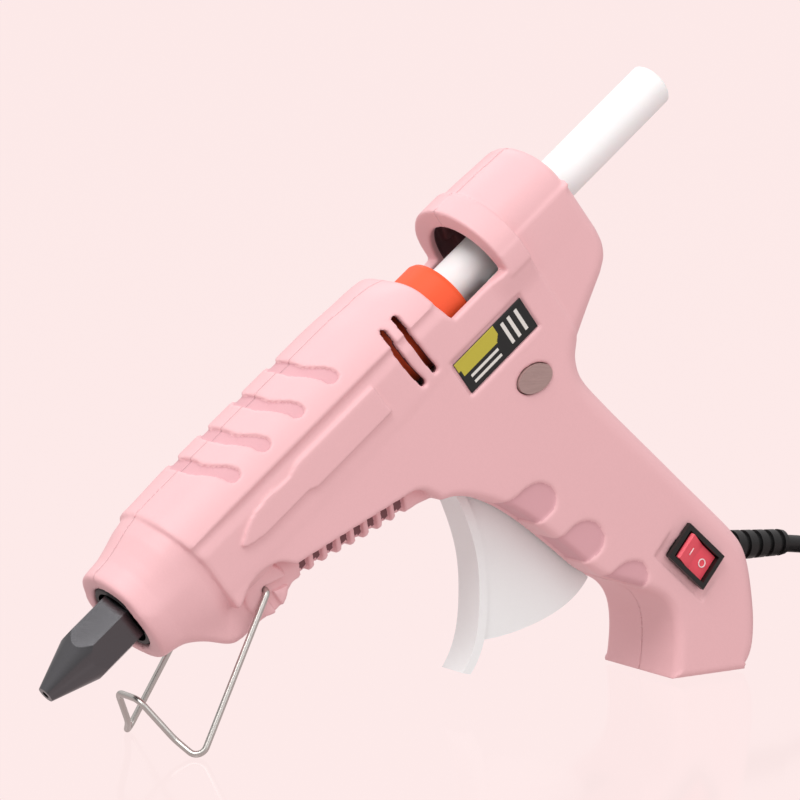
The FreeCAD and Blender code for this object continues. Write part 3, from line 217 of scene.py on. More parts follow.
def nets(F, org, h, project=None):
    """Quads of the zero surface of F (negative inside), one vertex per crossed cell."""
    F = F.astype(np.float32)
    S = F < 0
    nx, ny, nz = F.shape
    cnt = np.zeros((nx - 1, ny - 1, nz - 1), np.uint8)
    for a in (0, 1):
        for b in (0, 1):
            for c in (0, 1):
                cnt += S[a:nx - 1 + a, b:ny - 1 + b, c:nz - 1 + c]
    cell = (cnt > 0) & (cnt < 8)
    idx = np.argwhere(cell)
    vid = np.full(cell.shape, -1, np.int64)
    vid[cell] = np.arange(len(idx))
    pos = np.zeros((len(idx), 3))
    num = np.zeros(len(idx))
    I, J, K = idx.T
    for ax in range(3):
        o1, o2 = [k for k in range(3) if k != ax]
        for p in (0, 1):
            for q in (0, 1):
                d0 = [0, 0, 0]
                d0[o1], d0[o2] = p, q
                d1 = list(d0)
                d1[ax] = 1
                f0 = F[I + d0[0], J + d0[1], K + d0[2]]
                f1 = F[I + d1[0], J + d1[1], K + d1[2]]
                hit = (f0 < 0) != (f1 < 0)
                t = np.where(hit, f0 / np.where(hit, f0 - f1, 1), 0)
                off = np.zeros((len(idx), 3))
                off[:, o1], off[:, o2] = p, q
                off[:, ax] = t
                pos[hit] += off[hit]
                num[hit] += 1
    pos = pos / num[:, None] + idx
    quads = []
    for ax in range(3):
        o1, o2 = [(1, 2), (2, 0), (0, 1)][ax]
        sl0 = [slice(None)] * 3
        sl1 = [slice(None)] * 3
        sl0[ax], sl1[ax] = slice(0, -1), slice(1, None)
        A, B = S[tuple(sl0)], S[tuple(sl1)]
        e = np.argwhere(A != B)
        e = e[(e[:, o1] > 0) & (e[:, o2] > 0) & (e[:, o1] < F.shape[o1] - 1) & (e[:, o2] < F.shape[o2] - 1)]
        inside = A[e[:, 0], e[:, 1], e[:, 2]]
        c = []
        for p, q in ((1, 1), (0, 1), (0, 0), (1, 0)):
            g = e.copy()
            g[:, o1] -= p
            g[:, o2] -= q
            c.append(vid[g[:, 0], g[:, 1], g[:, 2]])
        c = np.stack(c, 1)
        c[~inside] = c[~inside][:, ::-1]
        quads.append(c)
    return np.asarray(org) + pos * h, np.concatenate(quads)


def smin(a, b, k):
    t = np.clip(0.5 + 0.5 * (b - a) / k, 0, 1)
    return b + (a - b) * t - k * t * (1 - t)


def smax(a, b, k):
    return -smin(-a, -b, k)


def S01(t):
    t = np.clip(t, 0, 1)
    return t * t * (3 - 2 * t)


def curve(pts, n=5):
    """Points along a smooth curve through pts."""
    P = [np.array(p, float) for p in pts]
    P = [2 * P[0] - P[1]] + P + [2 * P[-1] - P[-2]]
    out = []
    for i in range(1, len(P) - 2):
        for k in range(n):
            t = k / n
            a, b, c, d = P[i - 1:i + 3]
            out.append(tuple(0.5 * ((2 * b) + (c - a) * t + (2 * a - 5 * b + 4 * c - d) * t * t + (3 * b - a - 3 * c + d) * t ** 3)))
    out.append(tuple(P[-2]))
    return out


def poly(pts, U, V, rad=None):
    """Distance to a closed outline on the (u, v) plane, negative inside; with rad, also the edge radius there."""
    P = np.array(pts, float)
    d2 = np.full(U.shape, 1e9)
    ins = np.zeros(U.shape, bool)
    rr = np.zeros(U.shape)
    n = len(P)
    for i in range(n):
        a, b = P[i], P[(i + 1) % n]
        e = b - a
        L = e @ e
        if L < 1e-9:
            continue
        wu, wv = U - a[0], V - a[1]
        t = np.clip((wu * e[0] + wv * e[1]) / L, 0, 1)
        dd = (wu - t * e[0]) ** 2 + (wv - t * e[1]) ** 2
        if rad is not None:
            rr = np.where(dd < d2, rad[i] + (rad[(i + 1) % n] - rad[i]) * t, rr)
        d2 = np.minimum(d2, dd)
        if abs(e[1]) > 1e-12:
            ins ^= ((a[1] > V) != (b[1] > V)) & (U < e[0] * (V - a[1]) / e[1] + a[0])
    d = np.where(ins, -np.sqrt(d2), np.sqrt(d2))
    return (d, rr) if rad is not None else d


def slab(d2, r, Y, half):
    """Plate with outline d2, half thickness half and edges rounded to r."""
    a = d2 + r
    b = np.abs(Y) - half + r
    return np.sqrt(np.maximum(a, 0) ** 2 + np.maximum(b, 0) ** 2) + np.minimum(np.maximum(a, b), 0) - r


# ----------------------------------------------------------- casing -------
FRONT_GRIP = [(98.3, -30.2), (102.6, -32.9), (107.2, -38.3), (111.8, -46.0), (115.2, -55.0),
              (118.1, -65.4), (121.0, -76.0), (126.2, -84.2), (130.5, -91.0), (131.9, -95.6),
              (131.3, -100.2), (128.6, -105.0), (124.6, -109.6), (121.9, -112.0)]
BACK_GRIP = [(139.6, -125.9), (141.6, -125.8), (144.4, -124.6), (147.4, -122.0), (151.4, -116.8), (156.2, -108.2),
             (158.4, -101.9), (158.3, -96.3), (156.8, -88.0), (154.7, -77.7), (152.3, -65.6),
             (150.3, -55.6), (148.4, -45.7), (147.1, -36.5), (148.5, -31.4), (151.4, -28.3)]
BLOCK_LOW = [(166.0, -19.6), (169.0, -17.0), (170.6, -13.6), (171.0, -9.5)]
LUG_EDGE = [(42.6, -11.9), (44.6, -11.4), (48.4, -9.6), (52.9, -9.2), (57.4, -10.9), (60.4, -14.4)]
KEEL = [(26.2, -8.0), (30.0, -9.8), (33.6, -13.6), (37.4, -18.4), (40.4, -20.0), (46.0, -20.3),
        (51.7, -21.0), (56.2, -20.0), (58.6, -19.3), (67.0, -21.0), (78.1, -24.4), (89.7, -27.5),
        (94.5, -28.6), (98.6, -30.2)]
SCREWS = [(66.5, -17.9), (96.0, -24.6), (127.0, -28.2), (152.0, -22.9), (137.0, -48.0), (138.0, -114.0)]
H = 0.5

u0, v0 = 23.0, -128.0
nu, nv = int(150.0 / H), int(147.5 / H)
Ua = u0 + np.arange(nu) * H
Va = v0 + np.arange(nv) * H
U2, V2 = np.meshgrid(Ua, Va, indexing="ij")

outline, radii = [], []
for seg, ra, rb in (
        ([(43.2, 4.0), (42.9, -11.9)], 0.7, 0.7), (curve(LUG_EDGE), 0.7, 0.7), ([(60.4, -14.4), (94.2, -23.1)], 0.8, 0.8),
        (curve([(94.2, -23.1), (96.4, -25.4), (98.3, -30.2)]), 0.8, 1.8), (curve(FRONT_GRIP), 1.8, 2.6),
        ([(121.9, -112.0), (139.6, -125.9)], 1.6, 1.6), (curve(BACK_GRIP), 4.0, 6.0),
        (curve([(151.4, -28.3), (158.0, -24.2), (166.0, -19.6)]), 6.0, 4.2), (curve(BLOCK_LOW), 4.2, 3.2), ([(171.0, -9.5), (170.6, 5.0)], 3.2, 3.2),
        ([(170.6, 5.0), (151.0, 5.0)], 0.5, 0.5), ([(151.0, 5.0), (144.2, 5.0)], 0.5, 0.5), ([(144.2, 5.0), (144.2, 0.9)], 0.35, 0.35),
        ([(144.2, 0.9), (126.4, 0.9)], 0.35, 0.35), ([(126.4, 0.9), (124.2, 4.0)], 0.35, 0.35)):
    for k, p in enumerate(seg):
        outline.append(tuple(p))
        radii.append(ra + (rb - ra) * k / max(1, len(seg) - 1))
D2, RR = poly(outline, U2, V2, radii)
keel_pts = curve(KEEL[:9]) + KEEL[9:] + [(103.0, -30.0), (104.0, -18.0), (104.0, 2.0), (26.2, 2.0)]
K2 = poly(keel_pts, U2, V2)


def along(a, b, U, V):
    """Distance from the segment a-b."""
    a, b = np.array(a, float), np.array(b, float)
    e = b - a
    t = np.clip(((U - a[0]) * e[0] + (V - a[1]) * e[1]) / (e @ e), 0, 1)
    return np.sqrt((U - a[0] - t * e[0]) ** 2 + (V - a[1] - t * e[1]) ** 2), t


FEATHER = curve([(51.9, -0.6), (56.8, 2.4), (61.4, 3.4), (65.7, 3.5), (70.3, 3.1)], 4) + \
    [(72.6, 3.9), (74.5, 4.5), (99.6, 4.4), (100.1, -3.8), (75.1, -3.8), (72.7, -2.8)] + \
    curve([(70.0, -2.7), (64.2, -2.8), (57.6, -2.6), (53.6, -1.8), (51.9, -0.9)], 4)
FINGERS = [
    [(109.4, -41.7), (113.2, -43.4), (117.9, -44.0), (121.1, -45.4), (123.1, -48.5), (122.9, -51.6), (120.1, -53.8), (116.0, -53.5), (112.0, -52.4), (104.0, -46.0)],
    [(114.0, -58.9), (118.4, -60.4), (122.6, -60.7), (125.8, -62.2), (127.9, -65.2), (127.6, -69.1), (125.1, -71.0), (122.1, -71.0), (118.6, -70.0), (109.0, -64.0)],
    [(118.8, -76.1), (122.9, -77.5), (127.0, -78.0), (129.7, -79.2), (132.1, -82.0), (131.6, -85.6), (128.5, -87.7), (124.1, -87.4), (119.6, -86.0), (112.0, -80.0)]]
VENTS = [curve([(110.6, 10.1), (110.1, 7.5), (109.9, 3.8), (110.1, -0.4), (110.9, -4.7)], 5),
         curve([(115.1, 10.3), (114.7, 7.5), (114.6, 3.8), (114.8, -0.5), (115.2, -4.4)], 5)]


def chain(pts, U, V):
    d = np.full(U.shape, 1e9)
    for a, b in zip(pts[:-1], pts[1:]):
        d = np.minimum(d, along(a, b, U, V)[0])
    return d


def casing(side):
    """Distance field of one half of the casing; side -1 is the left half, with the switch, +1 the right."""
    ny = int(18.5 / H) + 3
    ya = -1.0 + np.arange(ny) * H if side > 0 else -(ny - 2) * H + 0.0 + np.arange(ny) * H
    ya = ya + (0.5 * H if side > 0 else 0.0)
    U, Y, V = Ua[:, None, None], ya[None, :, None], Va[None, None, :]
    A = np.abs(Y)
    d2, rr, k2 = D2[:, None, :], RR[:, None, :], K2[:, None, :]
    # half width of the side plate
    wide = 14.75 - 0.55 * S01((U - 150.6) / 0.7) * S01((V + 33.0) / 4.0) + 0.0 * V
    wide = wide + 1.35 * S01((V + 8.0) / 9.0) * S01((U - 137.0) / 6.0) * (1 - S01((U - 150.6) / 0.5))
    side_f = slab(d2, rr, Y, wide)
    rt = np.sqrt(Y * Y + V * V)
    # barrel tube with the soft groove where it meets the flat side
    wb = 14.75 - 0.55 * np.exp(-((V - 6.3) / 1.5) ** 2) + np.maximum(0, V - 7.0) * 1.1
    step = 42.7 - 1.9 * S01(V / 16.0)
    top = 16.6 - 0.9 * S01((U - 103.0) / 12.0) - 3.2 * S01((U - 113.0) / 14.0) ** 1.5
    rb = 16.45 + 0.45 * S01((U - 43.0) / 14.0) - 0.5 * S01((U - 101.0) / 16.0)
    bar = smax(rt - rb, A - wb, 0.9)
    bar = smax(bar, V - top - 0.6, 3.0)
    bar = smax(bar, step - U, 1.1)
    end = 124.6 + 1.6 * S01((9.0 - V) / 9.0)
    bar = smax(bar, U - end, 2.2)
    bar = np.maximum(bar, -11.0 - V)
    # nose
    rn = np.interp(Ua, [23, 24.6, 26, 30, 33, 37, 40, 42.5, 60], [12.2, 12.4, 12.6, 12.9, 13.6, 14.8, 15.35, 15.6, 15.6])[:, None, None]
    nose = smax(rt - rn, A - 13.6, 3.0)
    nose = smax(nose, 24.6 - U, 1.0)
    nose = np.maximum(nose, U - 58.0)
    nose = np.maximum(nose, -12.5 - V)
    kw = 10.9 + 0.0 * V
    keel = slab(k2, 1.6, Y, kw)
    nose = smin(nose, keel, 4.5 * (1 - S01((U - 38.0) / 6.0)) + 0.35)
    # rear ring: lip and block
    lip = smax(rt - 17.15, A - 16.4, 1.6)
    lip = np.maximum(smax(smax(lip, 143.7 - U, 0.5), U - 150.9, 0.3), -1.0 - V)
    blk = smax(rt - 16.35 + 0.6 * S01((U - 151.0) / 19.0), A - 14.25, 3.2)
    blk = smax(smax(blk, U - 170.6, 4.2), 148.0 - U, 0.3)
    blk = np.maximum(blk, -6.0 - V)
    F = smin(side_f, bar, 0.5)
    F = np.minimum(F, nose)
    F = np.minimum(F, smin(side_f, smin(blk, lip, 0.3), 0.6))
    # boss that carries the stand
    rl = np.sqrt((U - 51.7) ** 2 + (V + 14.9) ** 2)
    boss = smax(rl - 6.0, A - 11.9, 0.9)
    F = smin(F, boss, 0.3)
    F0 = F.copy()

    def cut_in(F, g, depth, soft=0.25):
        return smax(F, np.minimum(-g, F0 + depth), soft)

    G = np.full(F.shape, 9.0, np.float32)
    # raised feather
    fe = poly(FEATHER, U2, V2)[:, None, :]
    F = smin(F, smax(fe, np.maximum(F0 - 0.75, 10.0 - A), 0.1), 0.08)
    # grip grooves over the top
    th = np.degrees(np.arctan2(A, V))
    for c0 in (94.1, 82.6, 71.3, 61.2):
        cen = c0 - 3.5 * S01((46.0 - th) / 30.0) + 0 * U
        half = 1.9 - 0.3 * np.exp(-((th - 24.0) / 12.0) ** 2)
        capd = np.maximum(th - 44.5, 0) * 0.29
        g = np.sqrt((U - cen) ** 2 + capd ** 2) - half
        g = np.maximum(g, 6.0 - V)
        F = cut_in(F, g, 0.8, 0.12)
        G = np.minimum(G, g)
    # finger recesses
    for f in FINGERS:
        g = poly(curve(f + [f[0]], 4), U2, V2)[:, None, :]
        g = np.maximum(g, 6.0 - A)
        F = cut_in(F, g, 0.6, 0.12)
        G = np.minimum(G, g)
    # ribbed strip under the barrel
    ang = math.atan2(-8.7, 33.8)
    sa = (U - 62.2) * math.cos(ang) + (V + 14.9) * math.sin(ang)
    sb = -(U - 62.2) * math.sin(ang) + (V + 14.9) * math.cos(ang)
    core = np.maximum(k2 + 0.8, A - 9.5)
    for k in range(8):
        c0 = 2.2 + 4.02 * k + 0.22 * sb
        g = np.maximum(np.abs(sa - c0) - (1.3 if k < 7 else 1.5), sb - 0.2)
        F = smax(F, np.minimum(-g, core), 0.12)
        G = np.minimum(G, np.maximum(g, -1.0 - core))
    # groove across the boss
    dg, tg = along((51.7, -14.9), (60.5, -18.2), U, V)
    F = smax(F, np.minimum(-(dg - 1.0), -np.maximum(10.6 - A, -1.0)), 0.3)
    F = smax(F, np.minimum(-(along((51.7, -14.9), (51.9, -26.0), U, V)[0] - 1.1), A - 10.8), 0.3)
    # cooling slots
    for pts in VENTS:
        g = chain(pts, U2, V2)[:, None, :] - 0.95
        F = smax(F, -np.maximum(g, 8.0 - A), 0.25)
    if side < 0:
        lab = np.maximum(np.abs(U - 131.4) - 12.4, np.abs(V + 11.25) - 5.2)
        F = cut_in(F, lab, 0.75, 0.12)
        cu, su = math.cos(math.radians(-17)), math.sin(math.radians(-17))
        a = (U - 134.9) * cu + (V + 25.0) * su
        b = -(U - 134.9) * su + (V + 25.0) * cu
        ov = (np.sqrt((a / 5.2) ** 2 + (b / 3.42) ** 2) - 1.0) * 3.4
        F = smax(F, -np.maximum(ov, 8.0 + Y), 0.2)
        # seat of the switch
        la, lb = 2.85 / 14.14, -13.85 / 14.14
        p = (U - 144.2) * la + (V + 91.3) * lb
        q = -(U - 144.2) * lb + (V + 91.3) * la
        seat = np.maximum(np.abs(p) - 9.6, np.maximum(-q - 6.9, q - 5.4))
        dep = 0.65 * S01((-q + 3.0) / 7.0) + 0.0
        F = smax(F, np.minimum(-seat, F0 + dep), 0.2)
        hole = np.maximum(np.abs(p) - 6.5, np.abs(q) - 4.5)
        F = smax(F, -np.maximum(hole, 8.0 + Y), 0.12)
    else:
        for k, (a, b) in enumerate(SCREWS):
            r = np.sqrt((U - a) ** 2 + (V - b) ** 2)
            F = smax(F, -np.maximum(r - 2.85, (8.0 if k < 2 else 12.2) - Y), 0.2)
    # hollow, leaving a wall, with posts for the screws
    hol = F0 + 2.3
    for a, b in SCREWS:
        hol = np.maximum(hol, 3.3 - np.sqrt((U - a) ** 2 + (V - b) ** 2))
    hol = np.maximum(hol, 159.5 - U - 1.5 + 0 * V) if False else hol
    guide = np.maximum(np.abs(U - 159.5) - 1.5, np.maximum(A - 14.0, V - 14.5))
    hol = np.maximum(hol, -np.maximum(guide, -9.0 - V))
    for xs in (48.0, 88.0):
        for x0 in (xs - 1.7, xs + 2.4):
            wall = np.maximum(np.abs(U - x0 - 0.75) - 0.75, 12.3 - rt)
            wall = np.maximum(wall, -np.maximum(A - 8.3, V))
            hol = np.maximum(hol, -wall)
    F = np.maximum(F, -hol)
    # bay for the stick, its bores, the nozzle hole and the trigger slot
    bay = np.maximum(np.maximum(125.0 - U, U - 158.0), rt - 12.2)
    F = smax(F, -bay, 0.3)
    F = smax(F, -np.maximum(rt - 6.5, np.abs(U - 159.5) - 4.0), 0.2)
    F = smax(F, -np.maximum(rt - 10.5, 161.0 - U), 0.5)
    F = smax(F, -np.maximum(rt - 10.3, np.abs(U - 124.0) - 8.0), 0.2)
    F = smax(F, -np.maximum(rt - 8.6, U - 34.0), 0.5)
    slot = poly([(95.6, -26.6), (104.2, -26.6), (114.2, -37.0), (120.8, -55.0), (124.6, -70.0), (131.0, -86.0),
                 (126.0, -88.5), (116.0, -76.0), (108.0, -52.0), (100.0, -38.0), (93.0, -36.0)], U2, V2)[:, None, :]
    F = smax(F, -np.maximum(slot, A - 4.85), 0.3)
    # cord entry
    ex, ez = 188.6, 29.0 - TZ
    eu, ev = ex * CT + ez * ST, -ex * ST + ez * CT
    du, dv = math.cos(math.radians(37.6 + 3.0)), -math.sin(math.radians(37.6 + 3.0))
    s = (U - eu) * du + (V - ev) * dv
    w = np.sqrt(((U - eu) * dv - (V - ev) * du) ** 2 + Y * Y)
    F = smax(F, -np.maximum(w - 3.35, -9.0 - s), 0.2)
    # field of the whole half, kept before the parting face
    whole = F.astype(np.float32)
    # parting face
    F = np.maximum(F, Y + 0.015 if side < 0 else 0.015 - Y)
    # keep clear of the floor
    F = np.maximum(F, 0.06 - (U * ST + V * CT + TZ))
    return F, (u0, float(ya[0]), v0), whole, F0.astype(np.float32), G


def sample(G, q):
    """Value of the grid G at the grid places q."""
    q = np.clip(q, 0, np.array(G.shape) - 1.001)
    i = q.astype(int)
    f = q - i
    out = 0
    for a in (0, 1):
        for b in (0, 1):
            for c in (0, 1):
                w = (f[:, 0] if a else 1 - f[:, 0]) * (f[:, 1] if b else 1 - f[:, 1]) * (f[:, 2] if c else 1 - f[:, 2])
                out = out + w * G[i[:, 0] + a, i[:, 1] + b, i[:, 2] + c]
    return out


for side, name in ((-1, "left_shell"), (1, "right_shell")):
    F, org, whole, F0, G = casing(side)
    P, Q = nets(F, org, H)
    # bring the rim of the parting face onto the outer form and the face itself
    rim = np.abs(P[:, 1]) < 0.55 * H
    P[rim, 1] = side * 0.015
    q = (P[rim] - np.array(org)) / H
    for _ in range(3):
        val = sample(whole, q)
        du = (sample(whole, q + [0.5, 0, 0]) - sample(whole, q - [0.5, 0, 0])) / H
        dv = (sample(whole, q + [0, 0, 0.5]) - sample(whole, q - [0, 0, 0.5])) / H
        n2 = du * du + dv * dv
        ok = (np.abs(val) < 0.45) & (n2 > 0.2)
        q[ok, 0] -= np.clip(val * du / np.maximum(n2, 0.2), -0.3, 0.3)[ok] / H
        q[ok, 2] -= np.clip(val * dv / np.maximum(n2, 0.2), -0.3, 0.3)[ok] / H
    P[rim] = q * H + np.array(org)
    P[rim, 1] = side * 0.015
    mid = (P[Q].mean(1) - np.array(org)) / H
    deep = sample(F0, mid)
    kind = np.zeros(len(Q), np.int32)
    # faces on the floors of the engraved recesses get the painted recess shade (slot 1)
    kind[(sample(G, mid) < -0.15) & (deep < -0.3) & (deep > -1.3)] = 1
    # faces deep inside the wall get the painted interior shade (slot 2)
    kind[deep < -1.35] = 2
    del F, whole, F0, G
    X = np.stack([(P[:, 0] * CT - P[:, 2] * ST + TX) * 1e-3, P[:, 1] * 1e-3, (P[:, 0] * ST + P[:, 2] * CT + TZ) * 1e-3], 1)
    o = new_object("casing_" + ("left" if side < 0 else "right"), X, Q, M["pink"])
    o.data.materials.append(M["recess_shade_pink"])
    o.data.materials.append(M["shaded_interior_pink"])
    o.data.polygons.foreach_set("material_index", kind)
    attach(o, "casing")
    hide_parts(name)

# ------------------------------------------------------------ label -------
LU0, LU1, LV0, LV1 = 119.7, 143.2, -15.9, -7.3
gu, gv = 94, 36
us = np.linspace(LU0, LU1, gu + 1)
vs = np.linspace(LV0, LV1, gv + 1)
verts, faces, mids = [], [], []
for j in range(gv + 1):
    for i in range(gu + 1):
        verts.append(W(us[i], -14.42, vs[j]))
base = len(verts)
for j in range(gv + 1):
    for i in range(gu + 1):
        verts.append(W(us[i], -14.06, vs[j]))


def label_part(a, b):
    if b > 0.72 and a < 0.58 or b > 0.30 and False:
        return 1
    if b > 0.52 and 0.03 < a < 0.58 and b > 0.52 + max(0.0, (a - 0.52)) * 3.0:
        return 1
    if 0.10 < a < 0.50 and (0.14 < b < 0.22 or 0.33 < b < 0.41):
        return 2
    for c in (0.68, 0.78, 0.88):
        if abs(a - c) < 0.022 and 0.16 < b < 0.86:
            return 2
    return 0


for j in range(gv):
    for i in range(gu):
        a = j * (gu + 1) + i
        faces.append((a, a + 1, a + gu + 2, a + gu + 1))
        mids.append(label_part((i + 0.5) / gu, (j + 0.5) / gv))
        faces.append((base + a, base + a + gu + 1, base + a + gu + 2, base + a + 1))
        mids.append(0)
for i in range(gu):
    a, b = i, gv * (gu + 1) + i
    faces += [(a + 1, a, base + a, base + a + 1), (b, b + 1, base + b + 1, base + b)]
    mids += [0, 0]
for j in range(gv):
    a, b = j * (gu + 1), j * (gu + 1) + gu
    faces += [(a, a + gu + 1, base + a + gu + 1, base + a), (b + gu + 1, b, base + b, base + b + gu + 1)]
    mids += [0, 0]
lab = new_object("label", [tuple(v) for v in verts], faces, M["label_dark"], smooth=False)
lab.data.materials.append(M["label_olive"])
lab.data.materials.append(M["label_white"])
lab.data.polygons.foreach_set("material_index", np.array(mids, np.int32))
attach(lab, "casing")
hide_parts("label_plate")


# ----------------------------------------------------- switch marks -------
def tube_mesh(name, pts, r, material, ring=10, closed=False, cap=True):
    """A round tube through pts (metres)."""
    pts = [Vector(p) for p in pts]
    n = len(pts)
    verts, faces = [], []
    ref = None
    for i, p in enumerate(pts):
        a = pts[(i - 1) % n] if closed or i else pts[0]
        b = pts[(i + 1) % n] if closed or i < n - 1 else pts[-1]
        t = (b - a).normalized()
        if ref is None:
            ref = t.orthogonal().normalized()
        ref = (ref - t * ref.dot(t)).normalized()
        s = t.cross(ref)
        for k in range(ring):
            w = 2 * math.pi * k / ring
            verts.append(p + (ref * math.cos(w) + s * math.sin(w)) * r)
    m = n if closed else n - 1
    for i in range(m):
        for k in range(ring):
            a, b = i * ring + k, i * ring + (k + 1) % ring
            c, d = ((i + 1) % n) * ring + (k + 1) % ring, ((i + 1) % n) * ring + k
            faces.append((a, b, c, d))
    o = new_object(name, [tuple(v) for v in verts], faces, material)
    if cap and not closed:
        import bmesh
        bm = bmesh.new()
        bm.from_mesh(o.data)
        bm.verts.ensure_lookup_table()
        bm.faces.new([bm.verts[k] for k in range(ring)][::-1])
        bm.faces.new([bm.verts[(n - 1) * ring + k] for k in range(ring)])
        bm.to_mesh(o.data)
        bm.free()
    return o


ang = math.atan2(-13.85, 2.85)
SWM = BARREL @ Matrix.Translation((0.1442, -0.015, -0.0913)) @ Matrix.Rotation(-ang, 4, Vector((0, 1, 0)))
# the rocker's face, turned about its pivot
RK = SWM @ Matrix.Translation((0, 0.0022, 0)) @ Matrix.Rotation(math.radians(10.0), 4, Vector((0, 0, 1))) @ Matrix.Translation((0, -0.0022, 0))


def rk(x, y, z):
    return RK @ Vector((x * 1e-3, y * 1e-3, z * 1e-3))


i_mark = tube_mesh("rocker_mark_on", [rk(-2.7, -0.66, -1.0), rk(-2.7, -0.66, 1.0)], 0.00016, M["mark"], 8)
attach(i_mark, "rocker")
ring_pts = []
for k in range(28):
    w = 2 * math.pi * k / 28
    x, z = 2.6 + 1.0 * math.cos(w), 1.0 * math.sin(w)
    ring_pts.append(rk(x, -0.2 - 0.8 * x / 5.2 - 0.05, z))
o_mark = tube_mesh("rocker_mark_off", ring_pts, 0.00016, M["mark"], 8, closed=True)
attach(o_mark, "rocker")

# ------------------------------------------------------------- cord -------
R0 = 2.2e-3
HS, HE, HY = 138.02, 184.02, -4.0


def nurbs(name, pts, r, material):
    cu = bpy.data.curves.new(name, "CURVE")
    cu.dimensions = "3D"
    cu.bevel_depth = r
    cu.bevel_resolution = 5
    cu.resolution_u = 10
    cu.use_fill_caps = True
    sp = cu.splines.new("NURBS")
    sp.points.add(len(pts) - 1)
    for q, p in zip(sp.points, pts):
        q.co = (*p, 1.0)
    sp.order_u = 3
    sp.use_endpoint_u = True
    cu.materials.append(material)
    o = bpy.data.objects.new(name, cu)
    SC.collection.objects.link(o)
    return o


exit_at = (101.44, 0.0, 28.58)
cord_mm = [exit_at, (125.41, 0.0, 27.33), (141.02, 8.2, 18.9)]
turns = ((12.8, 15.45), (8.4, 15.45), (8.4, 11.05), (12.8, 11.05), (12.8, 6.65), (8.4, 6.65), (8.4, 2.25), (12.8, 2.25))
ARC = 8
for i, (r, z) in enumerate(turns):
    for x in ((HS + 8, HS + 23, HS + 38) if i else (HS + 23, HS + 38)):
        cord_mm.append((x, HY + r, z))
    if i == len(turns) - 1:
        break
    grow = 1.0 / math.cos(math.pi / ARC / 2)
    for k in range(ARC):
        w = math.radians(90.0 - (k + 0.5) * 180.0 / ARC)
        cord_mm.append((HE + r * grow * math.cos(w), HY + r * grow * math.sin(w), z))
    for x in (HE - 8, HE - 23, HE - 38):
        cord_mm.append((x, HY - r, z))
    nr, nz = turns[i + 1]
    for k in range(ARC):
        t = (k + 0.5) / ARC
        w = math.radians(-90.0 - t * 180.0)
        q = r + (nr - r) * float(S01(t / 0.5))
        cord_mm.append((HS + q * grow * math.cos(w), HY + q * grow * math.sin(w), z + (nz - z) * float(S01((t - 0.5) / 0.5))))
cord_mm += [(195.42, 8.8, 2.3), (202.52, 8.4, 2.9), (211.52, 2.2, 6.5), (219.52, 2.0, 6.6)]
cord_pts = [(x * 1e-3, y * 1e-3, z * 1e-3) for x, y, z in cord_mm]
cord = nurbs("cord", cord_pts, R0, M["rubber"])


def spline_length(o):
    dg = bpy.context.evaluated_depsgraph_get()
    cu = o.data
    keep = cu.bevel_depth
    cu.bevel_depth = 0
    dg.update()
    me = o.evaluated_get(dg).to_mesh()
    L = sum((me.vertices[e.vertices[0]].co - me.vertices[e.vertices[1]].co).length for e in me.edges)
    o.evaluated_get(dg).to_mesh_clear()
    cu.bevel_depth = keep
    dg.update()
    return L


LEN = spline_length(cord)
print("cord length", LEN)
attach(cord, "casing")
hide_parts("power_cord", "cord_coil")

# ----------------------------------------------------- floor, light -------
BG = lin((254, 234, 233))
fm = bpy.data.materials.new("floor")
fm.use_nodes = True
nt = fm.node_tree
nt.nodes.remove(nt.nodes["Principled BSDF"])
out = nt.nodes["Material Output"]
em = nt.nodes.new("ShaderNodeEmission")
em.inputs["Color"].default_value = BG
lf = nt.nodes.new("ShaderNodeLightPath")
ml = nt.nodes.new("ShaderNodeMapRange")
ml.inputs["To Min"].default_value = 0.70
ml.inputs["To Max"].default_value = 1.02
nt.links.new(lf.outputs["Is Camera Ray"], ml.inputs["Value"])
nt.links.new(ml.outputs["Result"], em.inputs["Strength"])
gl = nt.nodes.new("ShaderNodeBsdfGlossy")
gl.inputs["Roughness"].default_value = 0.10
gl.inputs["Color"].default_value = (1, 1, 1, 1)
mx = nt.nodes.new("ShaderNodeMixShader")
mx.inputs[0].default_value = 0.07
nt.links.new(em.outputs[0], mx.inputs[1])
nt.links.new(gl.outputs[0], mx.inputs[2])
nt.links.new(mx.outputs[0], out.inputs["Surface"])
n = 24
fv = [((i / n - 0.5) * 30.0, (j / n - 0.5) * 30.0, 0.0) for j in range(n + 1) for i in range(n + 1)]
ff = [(j * (n + 1) + i, j * (n + 1) + i + 1, (j + 1) * (n + 1) + i + 1, (j + 1) * (n + 1) + i) for j in range(n) for i in range(n)]
floor = new_object("floor", fv, ff, fm, smooth=False)

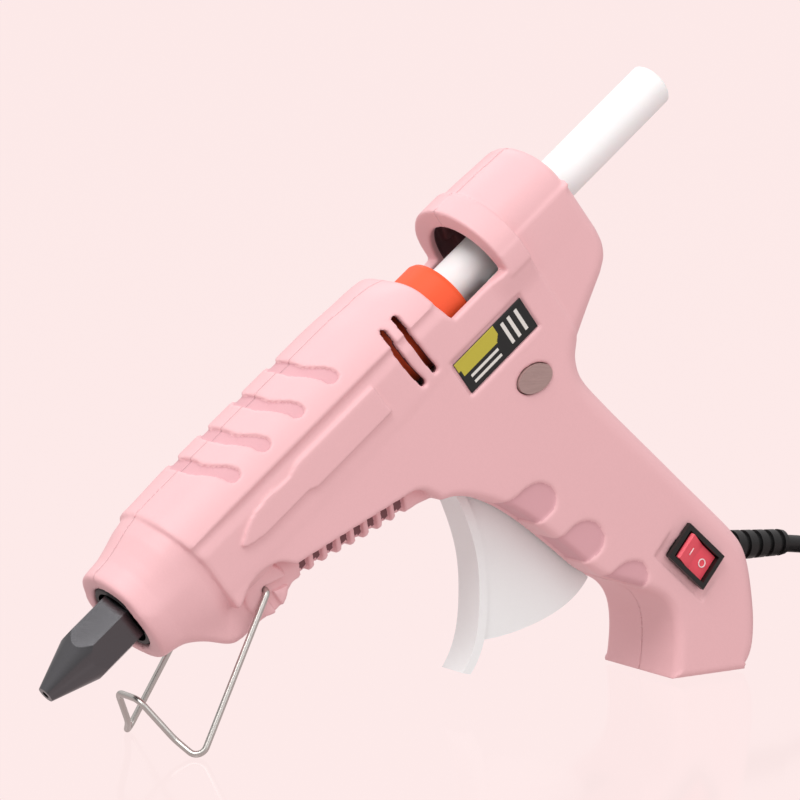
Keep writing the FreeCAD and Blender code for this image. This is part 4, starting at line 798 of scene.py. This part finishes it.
wd = bpy.data.worlds.new("studio")
SC.world = wd
wd.use_nodes = True
nt = wd.node_tree
bg1 = nt.nodes["Background"]
bg1.inputs["Color"].default_value = (1.0, 0.955, 0.95, 1.0)
wt = nt.nodes.new("ShaderNodeTexCoord")
wx = nt.nodes.new("ShaderNodeSeparateXYZ")
nt.links.new(wt.outputs["Generated"], wx.inputs[0])
wm = nt.nodes.new("ShaderNodeMapRange")
wm.inputs["From Min"].default_value = -0.15
wm.inputs["From Max"].default_value = 0.75
wm.inputs["To Min"].default_value = 0.40
wm.inputs["To Max"].default_value = 0.98
nt.links.new(wx.outputs["Z"], wm.inputs["Value"])
nt.links.new(wm.outputs["Result"], bg1.inputs["Strength"])
bg2 = nt.nodes.new("ShaderNodeBackground")
bg2.inputs["Color"].default_value = BG
bg2.inputs["Strength"].default_value = 1.0
lp = nt.nodes.new("ShaderNodeLightPath")
mw = nt.nodes.new("ShaderNodeMixShader")
nt.links.new(lp.outputs["Is Camera Ray"], mw.inputs[0])
nt.links.new(bg1.outputs[0], mw.inputs[1])
nt.links.new(bg2.outputs[0], mw.inputs[2])
nt.links.new(mw.outputs[0], nt.nodes["World Output"].inputs["Surface"])


def area(name, at, size, power, colour=(1, 1, 1), look=(0, 0, 0.075)):
    L = bpy.data.lights.new(name, "AREA")
    L.shape = "DISK"
    L.size = size
    L.energy = power
    L.color = colour
    o = bpy.data.objects.new(name, L)
    SC.collection.objects.link(o)
    d = (Vector(look) - Vector(at)).normalized()
    o.matrix_world = Matrix.Translation(at) @ d.to_track_quat("-Z", "Y").to_matrix().to_4x4()
    return o


def seen(az, el, dist):
    """A place round the object: az degrees to the camera's right, el above the horizon."""
    a = PSI - math.radians(az)
    e = math.radians(el)
    return Vector((-math.sin(a) * math.cos(e), -math.cos(a) * math.cos(e), math.sin(e))) * dist + Vector((0, 0, 0.07))


area("key", seen(-28, 52, 1.0), 0.55, 4.6, (1.0, 0.985, 0.98))
area("fill", seen(40, 20, 1.2), 0.8, 1.6, (1.0, 0.98, 0.98))
area("rim", seen(200, 50, 1.1), 0.5, 1.4, (1.0, 0.99, 0.99))
